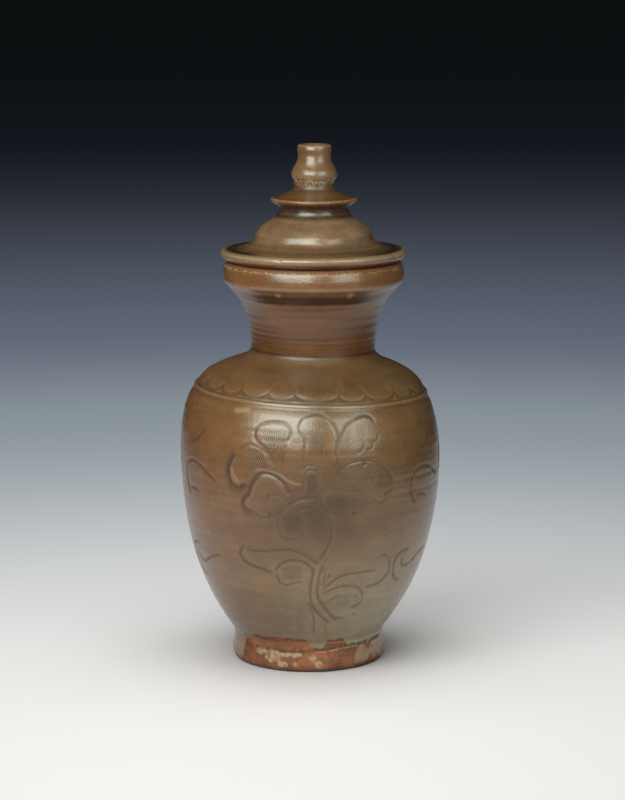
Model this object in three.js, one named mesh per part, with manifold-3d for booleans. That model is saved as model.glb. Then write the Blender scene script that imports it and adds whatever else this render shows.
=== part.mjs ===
// Covered stoneware vase, thrown in sections that are luted together, with a lift-off cover
// Millimetres, +Z up, origin at the centre of the foot's resting face

import * as THREE from 'three';
import { mergeVertices, toCreasedNormals } from 'three/addons/utils/BufferGeometryUtils.js';
import Module from 'manifold-3d';

const wasm = await Module();
wasm.setup();

// Flat facets round every turned section
const facets = 44;

// Foot ring
const footHeight = 17;
const footRestRadius = 42;
const footRestWidth = 7.5;
const footToeRadius = 44.5;
const footToeHeight = 5.5;
const footWaistRadius = 43.7;
const footWaistHeight = 12;
const footJoinRadius = 43.6;
const footJoinWidth = 10;

// Body, with heights counted from its base on the foot ring
const bodyHeight = 165;
const bodyWall = 5.5;
const floorThickness = 7;
const bellyRadius = 75.6;
const bellyRise = 109;
const ringRadius = 67.5;
const ringRise = 143;
const ringWidth = 3;
const ringProud = 0.6;
const ringLean = THREE.MathUtils.degToRad(30.6);
const neckRootRadius = 35.9;

// Neck
const neckHeight = 32;
const neckWall = 5.5;
const neckTopRadius = 44.7;

// Mouth, a dished ring on top of the neck
const mouthHeight = 19.5;
const mouthRadius = 52.3;
const mouthWall = 6.8;
const mouthBandHeight = 11.5;
const mouthBandDraft = 0.4;
const mouthBoreDepth = 11.5;
const rimRounding = 2.5;
const rimInnerEdge = 0.8;

// Cover, with heights counted from its seat on the rim
const collarClearance = 1.5;
const collarEndGap = 2.5;
const collarWall = 4;
const collarTaper = 1;
const lipRise = 2.2;
const lipThickness = 4.6;
const lipRounding = 2;
const brimOverhang = 1.7;
const brimDish = 0.8;
const brimFillet = 3;
const brimRunOut = 1;
const domeRadius = 34.6;
const domeWall = 5.4;
const domeBaseHeight = 12.5;
const crownThickness = 9.5;
const stemRadius = 20.2;
const coverShellHeight = 30.5;

// Finial, a saucer with a hollow-topped knob
const saucerHeight = 12;
const saucerRadius = 25.1;
const saucerEdgeRise = 3.6;
const saucerEdgeThickness = 1.9;
const saucerEdgeRounding = 0.5;
const saucerTopRise = 1.4;
const knobHeight = 24;
const knobRootRadius = 11.6;
const knobWaistHeight = 2;
const knobBulgeRadius = 13.4;
const knobBulgeHeight = 7;
const knobThroatRadius = 9.7;
const knobThroatHeight = 18;
const knobTopRadius = 9.9;
const knobTopRounding = 0.6;
const knobLipHeight = 2;
const knobWall = 3.2;
const knobHollowDepth = 12;
const knobHollowFillet = 1;

// Carving, done with a knife that leaves a V in section
const knifeStep = 10;
const knifeRunOut = 0.3;
const lineWidth = 2.2;
const lineDepth = 0.8;
const boldWidth = 3.8;
const boldDepth = 1.2;
const flowerRepeats = 3;
const petalCount = 22;
const petalTurn = 3;
const petalWidth = 1.8;
const petalDepth = 0.7;
const petalSteps = 4;
const petalTip = 0.06;
const petalNotch = 0.23;
const petalRoundness = 2.3;

// The flower and its scrolls, each stroke through points that give degrees to the right
// of the front and percent of the wall's height between the foot and the ring
const flower = [
  // Upper left petals
  { through: [[-15, 76], [-20.5, 84.5], [-24.5, 88.5], [-19.5, 93], [-11.5, 93], [-8.5, 89.5], [-10.5, 86]] },
  { through: [[-32.5, 81.5], [-26.5, 84.5], [-20, 82.5], [-16.5, 77]] },
  { through: [[-34, 80.5], [-37.5, 73.5], [-32.5, 67], [-27.5, 69]], bold: true },

  // Lower left petal
  {
    through: [[-26, 58.5], [-30.5, 60.5], [-27.5, 65], [-24, 71.5], [-18.5, 73.5], [-11.5, 70], [-9, 66.5]],
    bold: true,
  },

  // Ball and bud in the middle
  { through: [[2.5, 63.5], [-4, 63.5], [-11.5, 59.5], [-14, 52.5], [-10, 47.5], [-4, 49]] },
  { through: [[1.5, 62.5], [6, 60], [9.5, 51], [6.5, 41.5], [4, 37.5]] },
  { through: [[-2.5, 65.5], [-2, 73.5], [1.5, 75.5], [4, 71], [4, 65.5]] },

  // Top petal
  {
    through: [
      [-3, 74.5], [-1.5, 87], [-4.5, 91.5], [0, 96.5], [7.5, 95.5], [12, 86.5], [11, 79.5], [5, 74],
    ],
  },

  // Right petals with their scalloped edge
  { through: [[11, 79.5], [12.5, 87], [19, 93.5], [26.5, 95.5], [30, 92]] },
  { through: [[9.5, 71], [14.5, 76], [22, 78.5], [32.5, 75.5], [38, 67.5], [33, 64.5]] },
  { through: [[16, 64.5], [11, 67], [5.5, 65], [7, 61], [13, 58], [16.5, 60]] },
  { through: [[16.5, 59], [21.5, 62], [26, 61.5], [29, 63.5], [32.5, 61.5], [35.5, 63]] },

  // Stem
  { through: [[2, 36], [1, 25.5], [2.5, 18], [8, 13.5], [13, 10]] },
  { through: [[6.5, 36.5], [4, 25.5], [6, 20], [10.5, 15], [17.5, 11]] },

  // Left leaf and its lobe
  { through: [[4, 37], [-5.5, 42], [-14.5, 42.5], [-29, 41.5], [-33.5, 39.5], [-29.5, 35.5], [-17.5, 33]] },
  { through: [[1.5, 33.5], [-2.5, 37.5], [-9.5, 38], [-15, 35], [-15.5, 30.5], [-11, 28], [-3.5, 29]] },

  // Right leaves
  { through: [[7.5, 25.5], [13, 30], [20.5, 32], [34, 32]] },
  { through: [[29.5, 26], [37, 26.5], [42, 31], [40, 36.5]] },
  { through: [[7.5, 23.5], [16.5, 26.5], [27.5, 24], [29, 18.5], [23.5, 17.5]] },

  // Scrolls between two flowers
  { through: [[54.5, 38], [47, 37.5], [46, 31.5], [54, 25.5]] },
  { through: [[73.5, 36.5], [61, 33.5], [52.5, 32], [51, 36]] },
  { through: [[54, 58], [50, 67], [55, 72], [64.5, 71], [74, 66.5]] },
];

// How far each curve's handles reach, as shares of the span that the curve crosses
const flankSpread = 0.5;
const flankLift = 0.2;
const flankToBelly = 0.54;
const bellyToRing = 0.37;
const ringFromBelly = 0.22;
const ringToShoulder = 0.76;
const neckRootSpread = 0.11;
const neckRootDrop = 0.35;
const neckRootLift = 0.4;
const neckFlareSpread = 0.16;
const neckFlareDrop = 0.2;
const bandShoulder = 0.3;
const bandTop = 0.2;
const hollowCrown = 0.8;
const hollowSide = 0.7;
const hollowSkirt = 0.3;
const domeCrownHeight = 0.52;
const domeSide = 0.26;
const domeTurn = 0.18;
const domeStem = 0.25;
const saucerDish = 0.7;
const knobShoulder = 0.36;
const knobThroat = 0.55;

// Heights that follow from the sections below
const bodyTop = footHeight + bodyHeight;
const neckTop = bodyTop + neckHeight;
const rimTop = neckTop + mouthHeight;
const saucerTop = coverShellHeight + saucerHeight;
const knobTop = saucerTop + knobHeight;

// Radii and depths that follow from the mouth
const mouthBoreRadius = mouthRadius - mouthWall;
const rimFlatRadius = mouthRadius - rimRounding;
const collarRadius = mouthBoreRadius - collarClearance;
const collarBoreRadius = collarRadius - collarWall;
const collarDepth = mouthBoreDepth - collarEndGap;
const brimRadius = mouthRadius + brimOverhang;

// Materials
const glaze = { color: 0x7a5238, roughness: 0.4, metalness: 0 };
const thinGlaze = { color: 0x9a6a48, roughness: 0.45, metalness: 0 };
const bareClay = { color: 0x8c4a30, roughness: 0.85, metalness: 0 };

const at = (radius, height) => new THREE.Vector2(radius, height);

// A curve that leaves its start and meets its end along the given handles
function sweep(start, startHandle, endHandle, end, steps) {
  return new THREE.CubicBezierCurve(start, startHandle, endHandle, end).getPoints(steps);
}

// One outline from several runs, without the points that repeat where they meet
function joined(...runs) {
  const points = runs.flat();
  return points.filter((point, i) => i === 0 || point.distanceTo(points[i - 1]) > 1e-6);
}

// The inside of a thrown wall between two level seams, smoothed to half the outside's points
function insideOf(outside, wall) {
  const last = outside.length - 1;
  const inside = outside.map((point, i) => {
    const before = outside[Math.max(i - 1, 0)];
    const after = outside[Math.min(i + 1, last)];
    const run = after.clone().sub(before).normalize();
    return at(point.x - run.y * wall, point.y + run.x * wall);
  });
  const bottom = outside[0];
  const top = outside[last];
  const seamMargin = 1;
  const between = inside.filter((point, i) => {
    const clearOfSeams = point.y > bottom.y + seamMargin && point.y < top.y - seamMargin;
    return clearOfSeams && i % 2 === 1;
  });
  return [at(bottom.x - wall, bottom.y), ...between, at(top.x - wall, top.y)];
}

// Turns an outline about the vertical axis; a ring's outline closes on itself
function turned(name, outline, finish) {
  const geometry = new THREE.LatheGeometry(outline, facets);
  geometry.rotateX(Math.PI / 2);
  const mesh = new THREE.Mesh(geometry, new THREE.MeshStandardMaterial(finish));
  mesh.name = name;
  return mesh;
}

// The closed solid of a geometry, for cutting
function solidOf(geometry) {
  geometry.deleteAttribute('normal');
  geometry.deleteAttribute('uv');
  const welded = mergeVertices(geometry);
  const triangles = [];
  for (let i = 0; i < welded.index.count; i += 3) {
    const [a, b, c] = welded.index.array.slice(i, i + 3);
    if (a !== b && b !== c && c !== a) triangles.push(a, b, c);
  }
  const vertProperties = welded.attributes.position.array;
  const triVerts = new Uint32Array(triangles);
  return new wasm.Manifold(new wasm.Mesh({ numProp: 3, vertProperties, triVerts }));
}

// A point on the outside of a turned wall, with the way out of the wall
function onWall(wall, degrees, height) {
  const above = wall.findIndex((point) => point.y > height);
  const low = wall[above - 1];
  const high = wall[above];
  const spot = low.clone().lerp(high, (height - low.y) / (high.y - low.y));
  const run = high.clone().sub(low).normalize();
  const turn = THREE.MathUtils.degToRad(degrees);
  const outward = new THREE.Vector3(Math.sin(turn), -Math.cos(turn), 0);
  const point = outward.clone().multiplyScalar(spot.x).setZ(spot.y);
  return { point, normal: outward.multiplyScalar(run.y).setZ(-run.x) };
}

// What one stroke of the knife takes away, along places on the wall. The knife stands as far
// out of the wall as it cuts in, so its top is twice as wide as the cut
function knifeStroke(wall, places, width, depth) {
  const last = places.length - 1;
  const spots = places.map((place) => onWall(wall, place.x, place.y));
  const corners = spots.flatMap(({ point, normal }, i) => {
    const before = spots[Math.max(i - 1, 0)].point;
    const after = spots[Math.min(i + 1, last)].point;
    const side = after.clone().sub(before).cross(normal).setLength(width);
    const sunk = i === 0 || i === last ? depth * knifeRunOut : depth;
    const top = point.clone().addScaledVector(normal, depth);
    return [point.clone().addScaledVector(normal, -sunk), top.clone().add(side), top.clone().sub(side)];
  });
  const triangles = [0, 1, 2, last * 3, last * 3 + 2, last * 3 + 1];
  for (let start = 0; start < last * 3; start += 3) {
    for (let corner = 0; corner < 3; corner += 1) {
      const here = start + corner;
      const next = start + ((corner + 1) % 3);
      triangles.push(next, here, here + 3, next, here + 3, next + 3);
    }
  }
  const geometry = new THREE.BufferGeometry().setFromPoints(corners).setIndex(triangles);
  return solidOf(geometry);
}

// The flower's strokes, repeated round the belly
function flowerStrokes(wall) {
  const strokes = [];
  for (const { through, bold } of flower) {
    const drawn = through.map(([degrees, percent]) => at(degrees, footHeight + ringRise * (percent / 100)));
    const curve = new THREE.SplineCurve(drawn);
    const places = curve.getSpacedPoints(Math.ceil(curve.getLength() / knifeStep));
    for (let repeat = 0; repeat < flowerRepeats; repeat += 1) {
      const turn = at((360 / flowerRepeats) * repeat, 0);
      const moved = places.map((place) => place.clone().add(turn));
      strokes.push(knifeStroke(wall, moved, bold ? boldWidth : lineWidth, bold ? boldDepth : lineDepth));
    }
  }
  return strokes;
}

// The rounded lower ends of the petals on the shoulder, from notch to notch above the ring
function petalStrokes(wall) {
  const ringTop = footHeight + ringRise + ringWidth / 2;
  const shoulderRise = bodyTop - ringTop;
  const pitch = 360 / petalCount;
  const strokes = [];
  for (let petal = 0; petal < petalCount; petal += 1) {
    const places = [];
    for (let step = 0; step <= petalSteps; step += 1) {
      const across = -Math.cos((Math.PI * step) / petalSteps);
      const round = 1 - Math.sqrt(1 - Math.min(1, Math.abs(across) ** petalRoundness));
      const rise = petalTip + (petalNotch - petalTip) * round;
      places.push(at(petalTurn + pitch * (petal + across / 2), ringTop + shoulderRise * rise));
    }
    strokes.push(knifeStroke(wall, places, petalWidth, petalDepth));
  }
  return strokes;
}

// Cuts the strokes out of a turned piece, whose flat facets stay smooth to look at
function carved(mesh, strokes) {
  const crease = THREE.MathUtils.degToRad(20);
  const cut = solidOf(mesh.geometry).subtract(wasm.Manifold.union(strokes)).getMesh();
  const geometry = new THREE.BufferGeometry();
  geometry.setAttribute('position', new THREE.BufferAttribute(cut.vertProperties, cut.numProp));
  geometry.setIndex(new THREE.BufferAttribute(cut.triVerts, 1));
  mesh.geometry = toCreasedNormals(geometry, crease);
  return mesh;
}

function footRing() {
  const restInner = footRestRadius - footRestWidth;
  const outside = joined(
    sweep(
      at(footRestRadius, 0),
      at(footToeRadius, footToeHeight / 4),
      at(footToeRadius, footToeHeight / 2),
      at(footToeRadius, footToeHeight),
      3,
    ),
    [at(footWaistRadius, footWaistHeight), at(footJoinRadius, footHeight)],
  );
  const inside = [at(footJoinRadius - footJoinWidth, footHeight), at(restInner, 0)];
  return turned('foot_ring', [...outside, ...inside, outside[0].clone()], bareClay);
}

function body() {
  const join = at(footJoinRadius, footHeight);
  const belly = at(bellyRadius, footHeight + bellyRise);
  const ring = at(ringRadius, footHeight + ringRise);
  const root = at(neckRootRadius, bodyTop);

  // The raised ring leans with the wall it sits on
  const ringRun = at(-Math.sin(ringLean), Math.cos(ringLean));
  const ringFoot = ring.clone().addScaledVector(ringRun, -ringWidth / 2);
  const ringHead = ring.clone().addScaledVector(ringRun, ringWidth / 2);
  const crest = ring.clone().addScaledVector(at(ringRun.y, -ringRun.x), ringProud);

  const flare = belly.x - join.x;
  const flank = sweep(
    join,
    at(join.x + flare * flankSpread, join.y + bellyRise * flankLift),
    at(belly.x, belly.y - bellyRise * flankToBelly),
    belly,
    9,
  );
  const bellyToRingRise = ring.y - belly.y;
  const upper = sweep(
    belly,
    at(belly.x, belly.y + bellyToRingRise * bellyToRing),
    ringFoot.clone().addScaledVector(ringRun, -bellyToRingRise * ringFromBelly),
    ringFoot,
    4,
  );
  const shoulderRise = root.y - ring.y;
  const shoulder = sweep(
    ringHead,
    ringHead.clone().addScaledVector(ringRun, shoulderRise * ringToShoulder),
    at(root.x + (ring.x - root.x) * neckRootSpread, root.y - shoulderRise * neckRootDrop),
    root,
    7,
  );

  // The inside is smooth behind the ring and meets the floor at a bevel
  const outside = joined(flank, upper, [crest], shoulder);
  const floorTop = join.y + floorThickness;
  const wallInside = insideOf(joined(flank, upper, shoulder), bodyWall);
  const bevel = 1;
  const above = wallInside.filter((point) => point.y > floorTop + bevel);
  const floorEdge = at(above[0].x - (above[0].y - floorTop), floorTop);
  const outline = [at(0, join.y), ...outside, ...above.reverse(), floorEdge, at(0, floorTop)];
  const uncut = turned('vase_body', outline, glaze);
  return carved(uncut, [...flowerStrokes(outside), ...petalStrokes(outside)]);
}

function neck() {
  const outside = sweep(
    at(neckRootRadius, bodyTop),
    at(neckRootRadius, bodyTop + neckHeight * neckRootLift),
    at(neckTopRadius - neckHeight * neckFlareSpread, neckTop - neckHeight * neckFlareDrop),
    at(neckTopRadius, neckTop),
    7,
  );
  const inside = insideOf(outside, neckWall).reverse();
  return turned('neck', [...outside, ...inside, outside[0].clone()], glaze);
}

function mouth() {
  const turn = 2;
  const neckBore = at(neckTopRadius - neckWall, neckTop);
  const bandFoot = at(mouthRadius - mouthBandDraft, rimTop - mouthBandHeight);
  const outside = joined(
    sweep(
      at(neckTopRadius, neckTop),
      at(neckTopRadius + turn, neckTop + turn),
      at(bandFoot.x - turn, bandFoot.y - turn),
      bandFoot,
      3,
    ),
    sweep(
      bandFoot,
      at(mouthRadius + mouthBandDraft, bandFoot.y + mouthBandHeight * bandShoulder),
      at(mouthRadius, rimTop - mouthBandHeight * bandTop),
      at(rimFlatRadius, rimTop),
      5,
    ),
  );
  const rim = [
    at(mouthBoreRadius + rimInnerEdge, rimTop),
    at(mouthBoreRadius, rimTop - rimInnerEdge),
  ];
  const boreFoot = at(mouthBoreRadius, rimTop - mouthBoreDepth);
  const bore = sweep(
    boreFoot,
    at(boreFoot.x, boreFoot.y - turn),
    at(neckBore.x + turn, neckBore.y + turn),
    neckBore,
    4,
  );
  return turned('mouth_ring', [...outside, ...rim, ...bore, outside[0].clone()], glaze);
}

function coverShell() {
  const hollowRadius = domeRadius - domeWall;
  const hollowHeight = coverShellHeight - crownThickness;
  const hollow = sweep(
    at(0, hollowHeight),
    at(hollowRadius * hollowCrown, hollowHeight),
    at(hollowRadius, hollowHeight * hollowSide),
    at(hollowRadius, hollowHeight * hollowSkirt),
    6,
  );

  // The seat rests on the rim, and outside it the lip rises clear
  const seat = [at(collarBoreRadius, 0), at(rimFlatRadius, 0)];
  const lipTop = at(brimRadius - lipRounding, lipRise + lipThickness);
  const lip = sweep(
    at(brimRadius - brimOverhang, lipRise),
    at(brimRadius, lipRise),
    at(brimRadius + lipRounding / 4, lipTop.y),
    lipTop,
    5,
  );
  const domeFoot = at(domeRadius, domeBaseHeight);
  const brimTop = sweep(
    lipTop,
    at((brimRadius + domeRadius) / 2, lipTop.y - brimDish),
    at(domeFoot.x + brimRunOut, domeFoot.y - brimFillet),
    domeFoot,
    4,
  );

  // The dome swells out, then turns in to the stem under the saucer
  const domeRise = coverShellHeight - domeBaseHeight;
  const domeInset = domeRadius - stemRadius;
  const stemTop = at(stemRadius, coverShellHeight);
  const crown = at((domeRadius + stemRadius) / 2, domeFoot.y + domeRise * domeCrownHeight);
  const turn = at(-domeInset * domeTurn, domeRise * domeTurn * domeCrownHeight);
  const dome = joined(
    sweep(
      domeFoot,
      at(domeFoot.x, domeFoot.y + domeRise * domeSide),
      crown.clone().sub(turn),
      crown,
      4,
    ),
    sweep(
      crown,
      crown.clone().addScaledVector(turn, 2),
      at(stemTop.x, stemTop.y - domeRise * domeStem),
      stemTop,
      4,
    ),
  );
  const outside = joined(seat, lip, brimTop, dome);
  return turned('cover_shell', [...hollow, ...outside, at(0, coverShellHeight)], glaze);
}

function coverCollar() {
  const outline = [
    at(collarRadius, 0),
    at(collarBoreRadius, 0),
    at(collarBoreRadius + collarTaper, -collarDepth),
    at(collarRadius - collarTaper, -collarDepth),
    at(collarRadius, collarTaper - collarDepth),
    at(collarRadius, 0),
  ];
  return turned('cover_collar', outline, bareClay);
}

function finialSaucer() {
  const edgeFoot = at(saucerRadius - saucerEdgeRounding, coverShellHeight + saucerEdgeRise);
  const edgeHead = at(edgeFoot.x, edgeFoot.y + saucerEdgeThickness);
  const edge = at(saucerRadius, (edgeFoot.y + edgeHead.y) / 2);
  const turn = 1;
  const underside = sweep(
    at(stemRadius, coverShellHeight),
    at(stemRadius, coverShellHeight + turn),
    at(edgeFoot.x - turn, edgeFoot.y - turn),
    edgeFoot,
    3,
  );
  const top = sweep(
    edgeHead,
    at(saucerRadius * saucerDish, edgeHead.y + saucerTopRise),
    at(knobRootRadius, saucerTop - knobWaistHeight),
    at(knobRootRadius, saucerTop),
    5,
  );
  const outline = joined([at(0, coverShellHeight)], underside, [edge], top, [at(0, saucerTop)]);
  return turned('finial_saucer', outline, thinGlaze);
}

function finialKnob() {
  const waist = at(knobRootRadius, saucerTop + knobWaistHeight);
  const bulge = at(knobBulgeRadius, saucerTop + knobBulgeHeight);
  const throat = at(knobThroatRadius, saucerTop + knobThroatHeight);
  const swell = (bulge.y - waist.y) / 2;
  const taper = throat.y - bulge.y;
  const outside = joined(
    [at(knobRootRadius, saucerTop)],
    sweep(waist, at(waist.x, waist.y + swell), at(bulge.x, bulge.y - swell), bulge, 3),
    sweep(
      bulge,
      at(bulge.x, bulge.y + taper * knobShoulder),
      at(throat.x, throat.y - taper * knobThroat),
      throat,
      5,
    ),
    [at(knobTopRadius, knobTop - knobLipHeight), at(knobTopRadius - knobTopRounding, knobTop)],
  );
  const hollowRadius = knobTopRadius - knobWall;
  const hollowFloor = knobTop - knobHollowDepth;
  const hollow = [
    at(hollowRadius + knobTopRounding, knobTop),
    at(hollowRadius, knobTop - knobHollowFillet),
    at(hollowRadius, hollowFloor + knobHollowFillet),
    at(hollowRadius - knobHollowFillet, hollowFloor),
    at(0, hollowFloor),
  ];
  return turned('finial_knob', [at(0, saucerTop), ...outside, ...hollow], thinGlaze);
}

// Vase, which stands still
const vase = new THREE.Group();
vase.add(footRing(), body(), neck(), mouth());

// Cover, seated on the rim
const cover = new THREE.Group();
cover.position.z = rimTop;
cover.add(coverShell(), coverCollar(), finialSaucer(), finialKnob());

const coveredVase = new THREE.Group();
coveredVase.name = 'covered_vase';
coveredVase.add(vase, cover);

export default coveredVase;
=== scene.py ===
import math

import bpy
import numpy as np
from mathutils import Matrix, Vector


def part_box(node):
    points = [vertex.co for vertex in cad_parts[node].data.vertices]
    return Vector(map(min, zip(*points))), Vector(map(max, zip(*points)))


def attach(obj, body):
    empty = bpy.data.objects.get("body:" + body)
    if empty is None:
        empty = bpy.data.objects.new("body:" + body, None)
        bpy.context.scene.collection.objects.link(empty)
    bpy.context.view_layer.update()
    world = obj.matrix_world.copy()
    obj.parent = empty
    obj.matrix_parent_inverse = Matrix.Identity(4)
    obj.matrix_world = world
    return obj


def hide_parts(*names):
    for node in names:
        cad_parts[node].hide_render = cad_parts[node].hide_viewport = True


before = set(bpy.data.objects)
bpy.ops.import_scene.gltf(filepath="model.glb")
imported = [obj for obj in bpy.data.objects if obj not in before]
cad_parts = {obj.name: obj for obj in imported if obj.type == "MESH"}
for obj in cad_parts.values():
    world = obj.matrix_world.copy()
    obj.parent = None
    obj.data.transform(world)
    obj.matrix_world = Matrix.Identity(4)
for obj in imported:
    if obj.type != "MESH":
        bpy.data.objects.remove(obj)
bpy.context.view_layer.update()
mm = 0.001
print("stage: frame loaded,", len(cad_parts), "pieces")

# The photo's camera: a long lens, a little above the cover, looking slightly down
camera = {
    "standOff": 1.5,      # metres in front of the axis
    "height": 0.415,
    "across": 0.0013,
    "lookDown": 9.96,     # degrees
    "focalLength": 117.9,
    "sensor": 36.0,
}

cameraData = bpy.data.cameras.new("photoCamera")
cameraData.lens = camera["focalLength"]
cameraData.sensor_width = camera["sensor"]
cameraObject = bpy.data.objects.new("photoCamera", cameraData)
cameraObject.location = (camera["across"], -camera["standOff"], camera["height"])
cameraObject.rotation_euler = (math.radians(90 - camera["lookDown"]), 0, 0)
bpy.context.scene.collection.objects.link(cameraObject)
bpy.context.scene.camera = cameraObject
bpy.context.scene.view_settings.view_transform = "Standard"


# Small helpers for materials

def tone(red, green, blue):
    # A screen colour, each part from 0 to 255, as the linear colour that shaders take
    def linear(value):
        share = value / 255
        return share / 12.92 if share <= 0.04045 else ((share + 0.055) / 1.055) ** 2.4
    return (linear(red), linear(green), linear(blue), 1.0)


def plug(tree, target, value):
    # Links a node's output to a socket, or sets the socket to a plain value
    if isinstance(value, bpy.types.NodeSocket):
        tree.links.new(value, target)
    else:
        target.default_value = value


def sums(tree, operation, first, second=0.0, third=None, clamp=False):
    # One step of arithmetic on sockets or plain numbers
    node = tree.nodes.new("ShaderNodeMath")
    node.operation = operation
    node.use_clamp = clamp
    plug(tree, node.inputs[0], first)
    plug(tree, node.inputs[1], second)
    if third is not None:
        plug(tree, node.inputs[2], third)
    return node.outputs[0]


def times(tree, first, second, clamp=False):
    return sums(tree, "MULTIPLY", first, second, clamp=clamp)


def timesPlus(tree, first, second, added):
    return sums(tree, "MULTIPLY_ADD", first, second, added)


def opposite(tree, share, clamp=False):
    # What a share leaves of 1
    return sums(tree, "SUBTRACT", 1.0, share, clamp=clamp)


def blendTone(tree, share, first, second, mode="MIX"):
    node = tree.nodes.new("ShaderNodeMix")
    node.data_type = "RGBA"
    node.blend_type = mode
    plug(tree, node.inputs[0], share)
    plug(tree, node.inputs[6], first)
    plug(tree, node.inputs[7], second)
    return node.outputs[2]


def stain(tree, colour, over, share, strength=None):
    # The colour with a second tone laid over a share of it
    if strength is not None:
        share = times(tree, share, strength)
    return blendTone(tree, share, colour, tone(*over))


def grade(tree, colour, level, tones):
    # The colour darkened where the level is low and lightened where it is high
    dark, light = tones
    return blendTone(tree, 1.0, colour, blendTone(tree, level, (*dark, 1), (*light, 1)), "MULTIPLY")


def rise(tree, value, low, high):
    # 0 below low, 1 above high, and smooth between
    node = tree.nodes.new("ShaderNodeMapRange")
    node.interpolation_type = "SMOOTHSTEP"
    plug(tree, node.inputs["Value"], value)
    plug(tree, node.inputs["From Min"], low)
    plug(tree, node.inputs["From Max"], high)
    return node.outputs[0]


def attribute(tree, name):
    node = tree.nodes.new("ShaderNodeAttribute")
    node.attribute_name = name
    return node.outputs["Fac"]


def place(tree, stretch=(1, 1, 1), shift=(0, 0, 0)):
    # The point on the object in its own coordinates, stretched along the axes and moved
    spot = tree.nodes.new("ShaderNodeTexCoord").outputs["Object"]
    node = tree.nodes.new("ShaderNodeMapping")
    tree.links.new(spot, node.inputs["Vector"])
    node.inputs["Scale"].default_value = stretch
    node.inputs["Location"].default_value = shift
    return node.outputs[0]


def axesOf(tree, spot):
    # The X, Y and Z of a point
    node = tree.nodes.new("ShaderNodeSeparateXYZ")
    tree.links.new(spot, node.inputs[0])
    return node.outputs


def grain(tree, spot, scale, detail=2.0, roughness=0.5, distortion=0.0):
    node = tree.nodes.new("ShaderNodeTexNoise")
    tree.links.new(spot, node.inputs["Vector"])
    node.inputs["Scale"].default_value = scale
    node.inputs["Detail"].default_value = detail
    node.inputs["Roughness"].default_value = roughness
    node.inputs["Distortion"].default_value = distortion
    return node.outputs["Fac"]


def dots(tree, spot, scale):
    # Distance to the nearest of many scattered points
    node = tree.nodes.new("ShaderNodeTexVoronoi")
    tree.links.new(spot, node.inputs["Vector"])
    node.inputs["Scale"].default_value = scale
    return node.outputs["Distance"]


def dent(tree, height, distance, normal=None, strength=1.0):
    node = tree.nodes.new("ShaderNodeBump")
    node.inputs["Distance"].default_value = distance
    node.inputs["Strength"].default_value = strength
    plug(tree, node.inputs["Height"], height)
    if normal is not None:
        tree.links.new(normal, node.inputs["Normal"])
    return node.outputs[0]


def newMaterial(name):
    material = bpy.data.materials.new(name)
    material.use_nodes = True
    tree = material.node_tree
    return material, tree, tree.nodes["Principled BSDF"]


# Floor, lights and surroundings

studio = {
    "floorSize": 60.0,
    "floorCentre": (0.0, -0.2),
    "paperNear": (240, 238, 235),
    "paperShadeBeyond": [          # metres from the centre between which the tone changes into painted shade, and the tone
        (0.05, 0.98, (166, 178, 186)),
        (0.95, 1.5, (140, 150, 172)),
        (1.8, 4.6, (66, 74, 112)),
    ],
    # Painted light: a faint glow of the paper, which is no lamp
    "paperPaintedGlow": (12, 15, 15),
    "paperRoughness": 0.8,
    "paperShine": 0.2,
    # Painted shade: the floor is dark to the front and sides
    "unseen": (0.29, 0.62),     # metres to the front or sides, where the floor is out of the photo
    "unseenWiden": 0.13,        # metres that this lies further out for each metre to the back
    "unseenTone": (62, 66, 74),
    "vaseLights": {
        "leftSoftbox": {"round": -27, "up": 30, "away": 1.8, "size": (1.95, 1.4), "power": 27},
        "leftCore": {"round": -24, "up": 26, "away": 1.7, "size": (1.4, 0.95), "power": 23},
        "rightSoftbox": {"round": 40, "up": 22, "away": 1.8, "size": (1.3, 1.35), "power": 9},
        "rightCore": {"round": 40, "up": 22, "away": 1.7, "size": (0.8, 0.85), "power": 6.5},
        "topFill": {"round": -18, "up": 64, "away": 1.8, "size": (1.2, 1.2), "power": 12, "soft": True},
        "rearLeft": {"round": -135, "up": 24, "away": 1.8, "size": (1.0, 1.1), "power": 7, "soft": True},
        "rearRight": {"round": 135, "up": 24, "away": 1.8, "size": (1.0, 1.1), "power": 5, "soft": True},
        "rearMiddle": {"round": 180, "up": 30, "away": 1.8, "size": (1.0, 1.1), "power": 12, "soft": True},
    },
    "floorLights": {
        "overhead": {"round": 0, "up": 83, "away": 1.6, "size": (1.8, 1.8), "power": 30},
        "floorKey": {"round": -33, "up": 36, "away": 1.8, "size": (1.6, 1.2), "power": 17},
    },
    "lampTone": (238, 255, 243),
    "aim": 0.15,
    "horizon": (-0.05, 0.55),   # how far up the sky darkens, from and to
    "skyLow": (70, 80, 96),
    "skyHigh": (12, 14, 20),
    "skyStrength": 0.1,
}
vasePieces = bpy.data.collections.new("vasePieces")
floorPieces = bpy.data.collections.new("floorPieces")


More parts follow.
